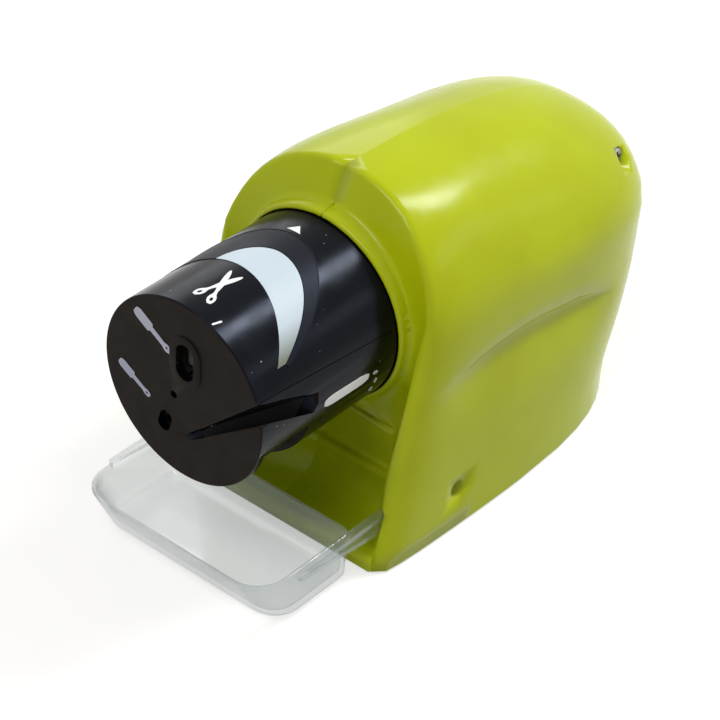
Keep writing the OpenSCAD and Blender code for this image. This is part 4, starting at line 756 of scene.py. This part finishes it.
# Band and crescent: the same lines as in the CAD model, at finer steps
BAND_TURN, CRESCENT_FROM, CRESCENT_TO = 62, -17.9, 59.4
REAR_Y, REAR_FALL, TIP_FALL, TIP_N = -10.1, 26.5236, 3.9, 8
FRONT_Y, FRONT_FALL, FRONT_SHIFT = -31, 12.6852, 4
PEAK_TURN, RISE_Y, RISE, RISE_TURN, RISE_N = 6.5, -31.7, 12.9, 24.5, 1.8
FALL_Y, FALL, FALL_TURN, FALL_N, THIN = -18.8, 22.2, 53, 2.15, 0.32
LINE_W, LINE_LIFT, LINE_IN, LINE_OUT = 0.3, 0.1, 1.5, 6
NEXT_TURN, CRESCENT_GAP = 0.01, 0.2


def band_rear(t):
    q = t / BAND_TURN
    return REAR_Y - REAR_FALL * q * q - TIP_FALL * np.abs(q) ** TIP_N


def band_front(t):
    q = (t + FRONT_SHIFT) / BAND_TURN
    return FRONT_Y - FRONT_FALL * q * q


def crescent_rear(t):
    rising = RISE_Y + RISE * quad((PEAK_TURN - t) / RISE_TURN, RISE_N)
    falling = FALL_Y - FALL * clamp((t - PEAK_TURN) / FALL_TURN) ** FALL_N
    return np.where(t < PEAK_TURN, rising, falling)


def crescent_front(t):
    return np.minimum(band_front(t), crescent_rear(t) - THIN)


def band():
    """Dark band behind the crescent, and the fine lines along its edges."""
    bm = bmesh.new()
    left = np.linspace(-BAND_TURN, CRESCENT_FROM, 50)
    right = np.linspace(CRESCENT_FROM + NEXT_TURN, CRESCENT_TO, 110)
    turns = np.concatenate([left, right, [BAND_TURN]])
    inside = (turns > CRESCENT_FROM) & (turns <= CRESCENT_TO)
    front = np.where(inside, crescent_rear(turns), band_front(turns))
    front[-1] = band_rear(turns[-1]) - INK
    drum_patch(bm, turns, band_rear(turns), np.minimum(front, band_rear(turns) - INK), 0)
    piece = stand_in(bm, "dark_band", "band_inlay")
    smooth_by_angle(piece.data, TOOL_ANGLE)
    lines = bmesh.new()
    drum_patch(lines, turns, band_rear(turns), band_rear(turns) - LINE_W, LINE_LIFT)
    edge = np.linspace(CRESCENT_FROM + LINE_IN, CRESCENT_TO - LINE_OUT, 90)
    drum_patch(lines, edge, crescent_rear(edge) + LINE_W, crescent_rear(edge), LINE_LIFT)
    mesh = bpy.data.meshes.new("band_edge_lines")
    lines.to_mesh(mesh)
    lines.free()
    rim = make_piece(mesh, "band_edge_lines", BODY_OF["band_inlay"], SLOT_OF["band_inlay"])
    smooth_by_angle(rim.data, TOOL_ANGLE)


band()


# Half widths of each sign at shares of its length, then where the signs lie: on the drum as the way round
# it and the distance from the collar, on the face as x and z
SCISSOR = [(0, 0.4), (0.05, 1.0), (0.12, 1.25), (0.2, 1.1), (0.26, 0.55), (0.34, 0.4), (0.42, 0.55),
           (0.55, 0.8), (0.8, 0.75), (0.94, 0.5), (1, 0.15)]
KNIFE = [(0, 0.7), (0.06, 1.45), (0.2, 1.8), (0.8, 1.75), (0.94, 1.4), (1, 0.8)]
BAR = [(0, 0.2), (0.1, 0.3), (0.9, 0.3), (1, 0.2)]
DRIVER = [(0, 0.9), (0.04, 1.5), (0.1, 1.75), (0.44, 1.75), (0.46, 0.9), (0.8, 0.8), (0.86, 1.15),
          (0.94, 1.2), (1, 0.7)]
POINTER = [(round_way(-7.3), -9), (round_way(2.2), -9), (round_way(-2.8), -6.1)]
SCISSORS = [((-0.9, -49), (3.5, -34.5), (-0.35, -47.2)), ((4.7, -49.2), (-0.7, -34.5), (4.05, -47.4))]
KNIFE_FROM, KNIFE_TO = (round_way(97), -29.3), (round_way(98.4), -10.9)
LOOPS = [(99, -8, 5), (106.6, -6.9, 0), (113.8, -7.3, 0)]
RING_R, LOOP_R, LOOP_HOLE_R, DRIVER_HOLE_R = (0.8, 0.45), (1.0, 0.55), (0.7, 0.25), (0.45, 0.4)
MOULD_FROM, MOULD_TO, MOULD_LINE = (round_way(70.4), -53.6), (round_way(78.6), -1.5), [(0, 0.14), (1, 0.14)]
BAR_FROM, BAR_TO = (round_way(21), -53.9), (round_way(22.5), -50.8)
DRIVERS = [((-17.1, 84.8), (-4.2, 76.4), (-5.5, 77.3), 1.0),
           ((-23.6, 64.4), (-12.2, 57.5), (-13.3, 58.2), 0.84)]


def signs():
    """Crescent, pointer, scissors and knife on the drum, and the two screwdrivers on its face."""
    bm = bmesh.new()
    turns = np.linspace(CRESCENT_FROM, CRESCENT_TO, 120)
    drum_patch(bm, turns, crescent_rear(turns) - CRESCENT_GAP, crescent_front(turns), 0, CRESCENT)
    print_sign(bm, POINTER, [], on_drum, SIGNS)
    for start, end, ring in SCISSORS:
        print_sign(bm, leaf(start, end, SCISSOR), [oval(ring, end, *RING_R)], on_drum, SIGNS)
    print_sign(bm, leaf(KNIFE_FROM, KNIFE_TO, KNIFE), [], on_drum, SIGNS)
    for turn, y, lean in LOOPS:
        at, towards = (round_way(turn), y), (round_way(turn) + 1, y + lean)
        print_sign(bm, oval(at, towards, *LOOP_R), [oval(at, towards, *LOOP_HOLE_R)], on_drum, SIGNS)
    print_sign(bm, leaf(BAR_FROM, BAR_TO, BAR), [], on_drum, SIGNS)
    for start, end, hole, size in DRIVERS:
        outline = leaf(start, end, [(share, w * size) for share, w in DRIVER], 90)
        print_sign(bm, outline, [oval(hole, end, *DRIVER_HOLE_R)], on_face, FACE_SIGNS)
    finishes = [FINISHES["white_print"], CRESCENT_FINISH, SIGN_FINISH]
    piece = stand_in(bm, "printed_signs", "print_marks", finishes)
    smooth_by_angle(piece.data, TOOL_ANGLE)


signs()


def mould_line():
    """The fine raised line that the tool leaves along the drum."""
    bm = bmesh.new()
    print_sign(bm, leaf(MOULD_FROM, MOULD_TO, MOULD_LINE, 60), [], on_drum, SIGNS)
    mesh = bpy.data.meshes.new("drum_mould_line")
    bm.to_mesh(mesh)
    bm.free()
    line = make_piece(mesh, "drum_mould_line", BODY_OF["head_barrel"], SLOT_OF["head_barrel"])
    smooth_by_angle(line.data, 60)


mould_line()

# Tray: a thin basin with rounded floor edges, and a rail along each side that runs on as an arm
TRAY_FRONT, TRAY_BACK, TRAY_HALF, TRAY_TOP, TRAY_FOOT, TRAY_WALL = -62.3, -23.5, 35.7, 17.3, 0.6, 1.4
TRAY_DRAFT, TRAY_SIDE_DRAFT, CORNER_DRAFT, FRONT_CORNER, BACK_CORNER = 8.6, 0.7, 2, 11, 4
OUTER_FILLET, INNER_FILLET, ARC_STEPS, FILLET_STEPS, LIP_STEPS = 2.6, 2.3, 8, 5, 6


def tray_level(z, inset):
    """One closed line round the tray's wall at a height, moved inwards by an inset."""
    share = (z - TRAY_FOOT) / (TRAY_TOP - TRAY_FOOT)
    half = TRAY_HALF - TRAY_SIDE_DRAFT * (1 - share)
    front = TRAY_FRONT + TRAY_DRAFT * (1 - share)
    corner = FRONT_CORNER - CORNER_DRAFT * (1 - share)
    x0, y0 = half - corner, front + corner
    x1, y1 = half - BACK_CORNER, TRAY_BACK - BACK_CORNER
    corners = [(x0, y0, corner, -90), (x1, y1, BACK_CORNER, 0),
               (-x1, y1, BACK_CORNER, 90), (-x0, y0, corner, 180)]
    line = []
    for x, y, r, first in corners:
        for i in range(ARC_STEPS + 1):
            a = math.radians(first + 90 * i / ARC_STEPS)
            line.append((x + (r - inset) * math.cos(a), y + (r - inset) * math.sin(a), z))
    return line


def tray_levels():
    """Heights and insets of the lines that make the wall: outer fillet, lip and inner fillet."""
    quarter = [math.radians(90 * i / FILLET_STEPS) for i in range(FILLET_STEPS + 1)]
    half_turn = [math.radians(180 * i / LIP_STEPS) for i in range(LIP_STEPS + 1)]
    outer, inner, edge, floor = OUTER_FILLET, INNER_FILLET, TRAY_WALL / 2, TRAY_FOOT + TRAY_WALL
    levels = [(TRAY_FOOT + outer * (1 - math.cos(a)), outer * (1 - math.sin(a))) for a in quarter]
    levels += [(TRAY_TOP - edge + edge * math.sin(a), edge * (1 - math.cos(a))) for a in half_turn]
    levels += [(floor + inner * (1 - math.sin(a)), TRAY_WALL + inner * (1 - math.cos(a))) for a in quarter]
    return levels


def basin():
    bm = bmesh.new()
    rings = [[bm.verts.new(p) for p in tray_level(z, inset)] for z, inset in tray_levels()]
    bm.faces.new(rings[0])
    bm.faces.new(rings[-1])
    for a, b in zip(rings, rings[1:]):
        for i in range(len(a)):
            j = (i + 1) % len(a)
            bm.faces.new([a[i], a[j], b[j], b[i]])
    bmesh.ops.recalc_face_normals(bm, faces=bm.faces[:])
    return bm


def side_plate(bm, outline, x0, x1):
    """A plate between two distances from the middle, from its outline seen from the side."""
    rows = [[bm.verts.new((x, y, z)) for y, z in outline] for x in (x0, x1)]
    bm.faces.new(rows[0])
    bm.faces.new(rows[1][::-1])
    for i in range(len(outline)):
        j = (i + 1) % len(outline)
        bm.faces.new([rows[0][i], rows[0][j], rows[1][j], rows[1][i]])


# Rails: outlines from the side as y and z, and how far out each plate reaches
RAIL_IN, RAIL_OUT, ARM_OUT, ARM_END = 34.5, 37.2, 35.8, 9
RAIL_PARTS = [
    ([(-47, 15.9), (-47, 17), (ARM_END, 17), (ARM_END, 15.5), (-46, 15.5)], RAIL_OUT),
    ([(-47, 14.4), (-47, 15.9), (ARM_END, 9.8), (ARM_END, 8.3)], RAIL_OUT),
    ([(-46.6, 14.6), (-46.6, 16.8), (ARM_END - 0.2, 16.8), (ARM_END - 0.2, 8.5)], ARM_OUT),
]


def as_object(bm, name):
    bmesh.ops.recalc_face_normals(bm, faces=bm.faces[:])
    for v in bm.verts:
        v.co *= MM
    mesh = bpy.data.meshes.new(name)
    bm.to_mesh(mesh)
    bm.free()
    thing = bpy.data.objects.new(name, mesh)
    bpy.context.scene.collection.objects.link(thing)
    return thing


def tray():
    whole = as_object(basin(), "tray_basin")
    tools = []
    for side in (1, -1):
        for number, (outline, out) in enumerate(RAIL_PARTS):
            bm = bmesh.new()
            side_plate(bm, outline, RAIL_IN * side, out * side)
            tools.append(as_object(bm, f"rail_{side}_{number}"))
    for tool in tools:
        joined = whole.modifiers.new(tool.name, "BOOLEAN")
        joined.operation, joined.solver, joined.object = "UNION", "EXACT", tool
    mesh = bpy.data.meshes.new_from_object(whole.evaluated_get(bpy.context.evaluated_depsgraph_get()))
    for thing in [whole, *tools]:
        bpy.data.objects.remove(thing)
    mesh.name = "catch_tray"
    mesh.materials.clear()
    smooth_by_angle(mesh, TOOL_ANGLE)
    make_piece(mesh, "catch_tray", BODY_OF["tray"], SLOT_OF["tray"], ["tray"])


tray()


# Cross-recess screws and grip ribs: each repeats one form on points, in Geometry Nodes
RIM_SHARE, CROWN_SHARE, CROWN_R, RECESS_L = 0.7, 0.3, 0.8, 1.25


def add_inputs(tree, floats, output):
    tree.interface.new_socket("Points", in_out="INPUT", socket_type="NodeSocketGeometry")
    for name in floats:
        tree.interface.new_socket(name, in_out="INPUT", socket_type="NodeSocketFloat")
    tree.interface.new_socket("Finish", in_out="INPUT", socket_type="NodeSocketMaterial")
    tree.interface.new_socket(output, in_out="OUTPUT", socket_type="NodeSocketGeometry")


def raised(tree, shape, height):
    """A shape moved to a height."""
    offset = add(tree, "ShaderNodeCombineXYZ", {"Z": height}).outputs[0]
    moved = add(tree, "GeometryNodeTransform", {"Geometry": shape.outputs["Mesh"], "Translation": offset})
    return moved.outputs["Geometry"]


def scatter(tree, given, shape, output, links=None):
    """One copy of a shape at each point, as plain geometry in the given finish."""
    placed = add(tree, "GeometryNodeInstanceOnPoints",
                 {"Points": given["Points"], "Instance": shape, **(links or {})})
    real = add(tree, "GeometryNodeRealizeInstances", {"Geometry": placed.outputs["Instances"]})
    done = add(tree, "GeometryNodeSetMaterial",
               {"Geometry": real.outputs["Geometry"], "Material": given["Finish"]})
    add(tree, "NodeGroupOutput", {output: done.outputs["Geometry"]})


def screw_tree():
    """Pan head with a cross recess over a plain shank: the point is the seat, with the head before it."""
    tree = bpy.data.node_groups.new("cross_head_screws", "GeometryNodeTree")
    add_inputs(tree, ["Head radius", "Head height", "Shank radius", "Shank length", "Recess width"], "Screws")
    given = add(tree, "NodeGroupInput").outputs
    head_r, head_t, length = given["Head radius"], given["Head height"], given["Shank length"]
    products = [(head_t, RIM_SHARE), (head_t, -RIM_SHARE / 2), (head_t, CROWN_SHARE), (head_t, -1.0),
                (head_r, CROWN_R), (head_r, RECESS_L), (length, 0.5)]
    rim, rim_z, crown, top, crown_r, long, shank_z = (
        add(tree, "ShaderNodeMath", {0: value}, {1: factor}, operation="MULTIPLY").outputs[0]
        for value, factor in products)
    disc = add(tree, "GeometryNodeMeshCylinder", {"Radius": head_r, "Depth": rim}, {"Vertices": 32})
    dome = add(tree, "GeometryNodeMeshCone", {"Radius Top": head_r, "Radius Bottom": crown_r, "Depth": crown},
               {"Vertices": 32})
    shank = add(tree, "GeometryNodeMeshCylinder", {"Radius": given["Shank radius"], "Depth": length},
                {"Vertices": 24})
    head = add(tree, "GeometryNodeMeshBoolean", operation="UNION", solver="EXACT")
    for shape, height in ((disc, rim_z), (dome, top), (shank, shank_z)):
        tree.links.new(raised(tree, shape, height), head.inputs["Mesh 2"])
    cut = add(tree, "GeometryNodeMeshBoolean", {"Mesh 1": head.outputs["Mesh"]}, operation="DIFFERENCE",
              solver="EXACT")
    for x, y in ((long, given["Recess width"]), (given["Recess width"], long)):
        size = add(tree, "ShaderNodeCombineXYZ", {"X": x, "Y": y, "Z": head_t})
        bar = add(tree, "GeometryNodeMeshCube", {"Size": size.outputs[0]})
        tree.links.new(raised(tree, bar, top), cut.inputs["Mesh 2"])
    turn = add(tree, "GeometryNodeInputNamedAttribute", sets={"Name": "turn"}, data_type="FLOAT_VECTOR")
    rotation = add(tree, "FunctionNodeEulerToRotation", {0: turn.outputs["Attribute"]})
    scatter(tree, given, cut.outputs["Mesh"], "Screws", {"Rotation": rotation.outputs[0]})
    return tree


def rib_tree():
    """Half-round ribs across the door, one for each point."""
    tree = bpy.data.node_groups.new("grip_ribs", "GeometryNodeTree")
    add_inputs(tree, ["Rib radius", "Rib length"], "Ribs")
    given = add(tree, "NodeGroupInput").outputs
    rib = add(tree, "GeometryNodeMeshCylinder", {"Radius": given["Rib radius"], "Depth": given["Rib length"]},
              {"Vertices": 16})
    lying = add(tree, "GeometryNodeTransform", {"Geometry": rib.outputs["Mesh"]},
                {"Rotation": (0, math.pi / 2, 0)})
    scatter(tree, given, lying.outputs["Geometry"], "Ribs")
    return tree


def repeat(tree, spots, turn, sizes, finish):
    """Runs a tree on points, sizes in millimetres, and gives the plain mesh."""
    mesh = bpy.data.meshes.new("spots")
    mesh.from_pydata([[c * MM for c in spot] for spot in spots], [], [])
    held = mesh.attributes.new("turn", "FLOAT_VECTOR", "POINT")
    held.data.foreach_set("vector", [math.radians(a) for a in turn] * len(spots))
    thing = bpy.data.objects.new("spots", mesh)
    bpy.context.scene.collection.objects.link(thing)
    nodes = thing.modifiers.new("repeat", "NODES")
    nodes.node_group = tree
    for item in tree.interface.items_tree:
        if item.name in sizes:
            nodes[item.identifier] = sizes[item.name] * MM
        if item.name == "Finish":
            nodes[item.identifier] = finish
    made = bpy.data.meshes.new_from_object(thing.evaluated_get(bpy.context.evaluated_depsgraph_get()))
    bpy.data.objects.remove(thing)
    return made


def screw_sizes(head_t, length):
    return {"Head radius": 2.6, "Head height": head_t, "Shank radius": 1.5, "Shank length": length,
            "Recess width": 0.75}


LOW_SEAT, HIGH_SEAT, SCREW_GRIP = (38.2, 13.8, 14), (25.5, 103, 78.6), 10
BASE_SEATS = [(s * x, y, 2) for s in (-1, 1) for x, y in ((27, 24), (27, 84))]
SCREWS = screw_tree()
SCREW_SETS = [
    ("housing_screws", "long_screws",
     [([seat], (0, -90, 0), screw_sizes(1.8, seat[0] + SCREW_GRIP)) for seat in (LOW_SEAT, HIGH_SEAT)]),
    ("base_screws", "plate_screws", [(BASE_SEATS, (0, 0, 0), screw_sizes(1.2, 12))]),
]


def fasteners():
    for node, name, groups in SCREW_SETS:
        bm = bmesh.new()
        for spots, turn, sizes in groups:
            made = repeat(SCREWS, spots, turn, sizes, FINISHES[SLOT_OF[node]])
            bm.from_mesh(made)
            bpy.data.meshes.remove(made)
        piece = stand_in(bm, name, node)
        smooth_by_angle(piece.data, 30)


fasteners()

DOOR_BACK, DOOR_UNDER, RIBS, RIB_PITCH, RIB_INSET, RIB_SINK = 67.55, 0.8, 5, 2, 1.5, 0.1
RIB_SPOTS = [(0, DOOR_BACK - RIB_INSET - RIB_PITCH * i, DOOR_UNDER + RIB_SINK) for i in range(RIBS)]
RIB_SIZES = {"Rib radius": 0.4, "Rib length": 21}
ribs = repeat(rib_tree(), RIB_SPOTS, (0, 0, 0), RIB_SIZES, FINISHES["lime_abs_base"])
ribs.materials.clear()
smooth_by_angle(ribs, TOOL_ANGLE)
make_piece(ribs, "door_grip_ribs", "door", "lime_abs_base")


# Floor, backdrop and light, in metres and watts: each lamp has its place, its aim, its size and its power
FLOOR_HALF, FLOOR_DRIFT_MM, FLOOR_LIFT, SOFT_LIGHT = 3.0, 300, 0.62, 0.28
LAMPS = {
    "window_behind": ((0.25, 0.6, 0.75), (0, 0, 0.08), (0.15, 0.45), 5),
    "window_front": ((0.05, -0.5, 0.85), (0, 0.03, 0.06), (0.6, 0.25), 3.8),
    "window_side": ((0.64, 0.56, 0.38), (0, 0.05, 0.06), (0.5, 0.16), 0.35),
    "window_left": ((-0.64, 0.45, 0.42), (0, 0.03, 0.09), (0.5, 0.3), 0.8),
}


def backdrop_rays(tree):
    """One for the rays that meet the plain white backdrop: to the camera, in glass and in gloss."""
    ray = add(tree, "ShaderNodeLightPath").outputs
    clear = add(tree, "ShaderNodeMath", {0: ray["Is Camera Ray"], 1: ray["Is Transmission Ray"]},
                operation="MAXIMUM")
    return add(tree, "ShaderNodeMath", {0: clear.outputs[0], 1: ray["Is Glossy Ray"]},
               operation="MAXIMUM").outputs[0]


def floor_material():
    """Pale grey paper: it shows white to the camera and in gloss and glass, and keeps the shadow."""
    m, tree = new_material("pale_floor")
    place = add(tree, "ShaderNodeTexCoord").outputs["Object"]
    cloud = add(tree, "ShaderNodeTexNoise", {"Vector": place},
                {"Scale": PER_M / FLOOR_DRIFT_MM, "Detail": 2.0})
    colour = add(tree, "ShaderNodeMix", {"Factor": cloud.outputs["Fac"]},
                 {"A": linear("#BCBAB6"), "B": linear("#C2C0BC")}, data_type="RGBA")
    diffuse = add(tree, "ShaderNodeBsdfDiffuse", {"Color": colour.outputs["Result"]})
    lift = add(tree, "ShaderNodeMath", {0: backdrop_rays(tree)}, {1: FLOOR_LIFT}, operation="MULTIPLY")
    glow = add(tree, "ShaderNodeEmission", {"Strength": lift.outputs[0]}, {"Color": (1, 1, 1, 1)})
    total = add(tree, "ShaderNodeAddShader", {0: diffuse.outputs["BSDF"], 1: glow.outputs["Emission"]})
    add(tree, "ShaderNodeOutputMaterial", {"Surface": total.outputs["Shader"]})
    return m


def lay_floor():
    mesh = bpy.data.meshes.new("floor")
    corners = [(x * FLOOR_HALF, y * FLOOR_HALF, 0) for x, y in ((-1, -1), (1, -1), (1, 1), (-1, 1))]
    mesh.from_pydata(corners, [], [(0, 1, 2, 3)])
    mesh.materials.append(floor_material())
    floor = bpy.data.objects.new("floor", mesh)
    bpy.context.scene.collection.objects.link(floor)


def set_world():
    world = bpy.data.worlds.new("studio")
    bpy.context.scene.world = world
    world.use_nodes = True
    tree = world.node_tree
    tree.nodes.clear()
    soft = add(tree, "ShaderNodeBackground", sets={"Color": (1, 1, 1, 1), "Strength": SOFT_LIGHT})
    white = add(tree, "ShaderNodeBackground", sets={"Color": (1, 1, 1, 1), "Strength": 1.0})
    both = add(tree, "ShaderNodeMixShader",
               {0: backdrop_rays(tree), 1: soft.outputs["Background"], 2: white.outputs["Background"]})
    add(tree, "ShaderNodeOutputWorld", {"Surface": both.outputs["Shader"]})


def soft_light(name, place, aim, size, watts):
    data = bpy.data.lights.new(name, "AREA")
    data.shape = "RECTANGLE"
    data.size, data.size_y = size
    data.energy = watts
    light = bpy.data.objects.new(name, data)
    light.location = place
    light.rotation_euler = (Vector(aim) - Vector(place)).to_track_quat("-Z", "Y").to_euler()
    bpy.context.scene.collection.objects.link(light)


lay_floor()
set_world()
for name, lamp in LAMPS.items():
    soft_light(name, *lamp)
bpy.context.scene.view_settings.view_transform = "Standard"
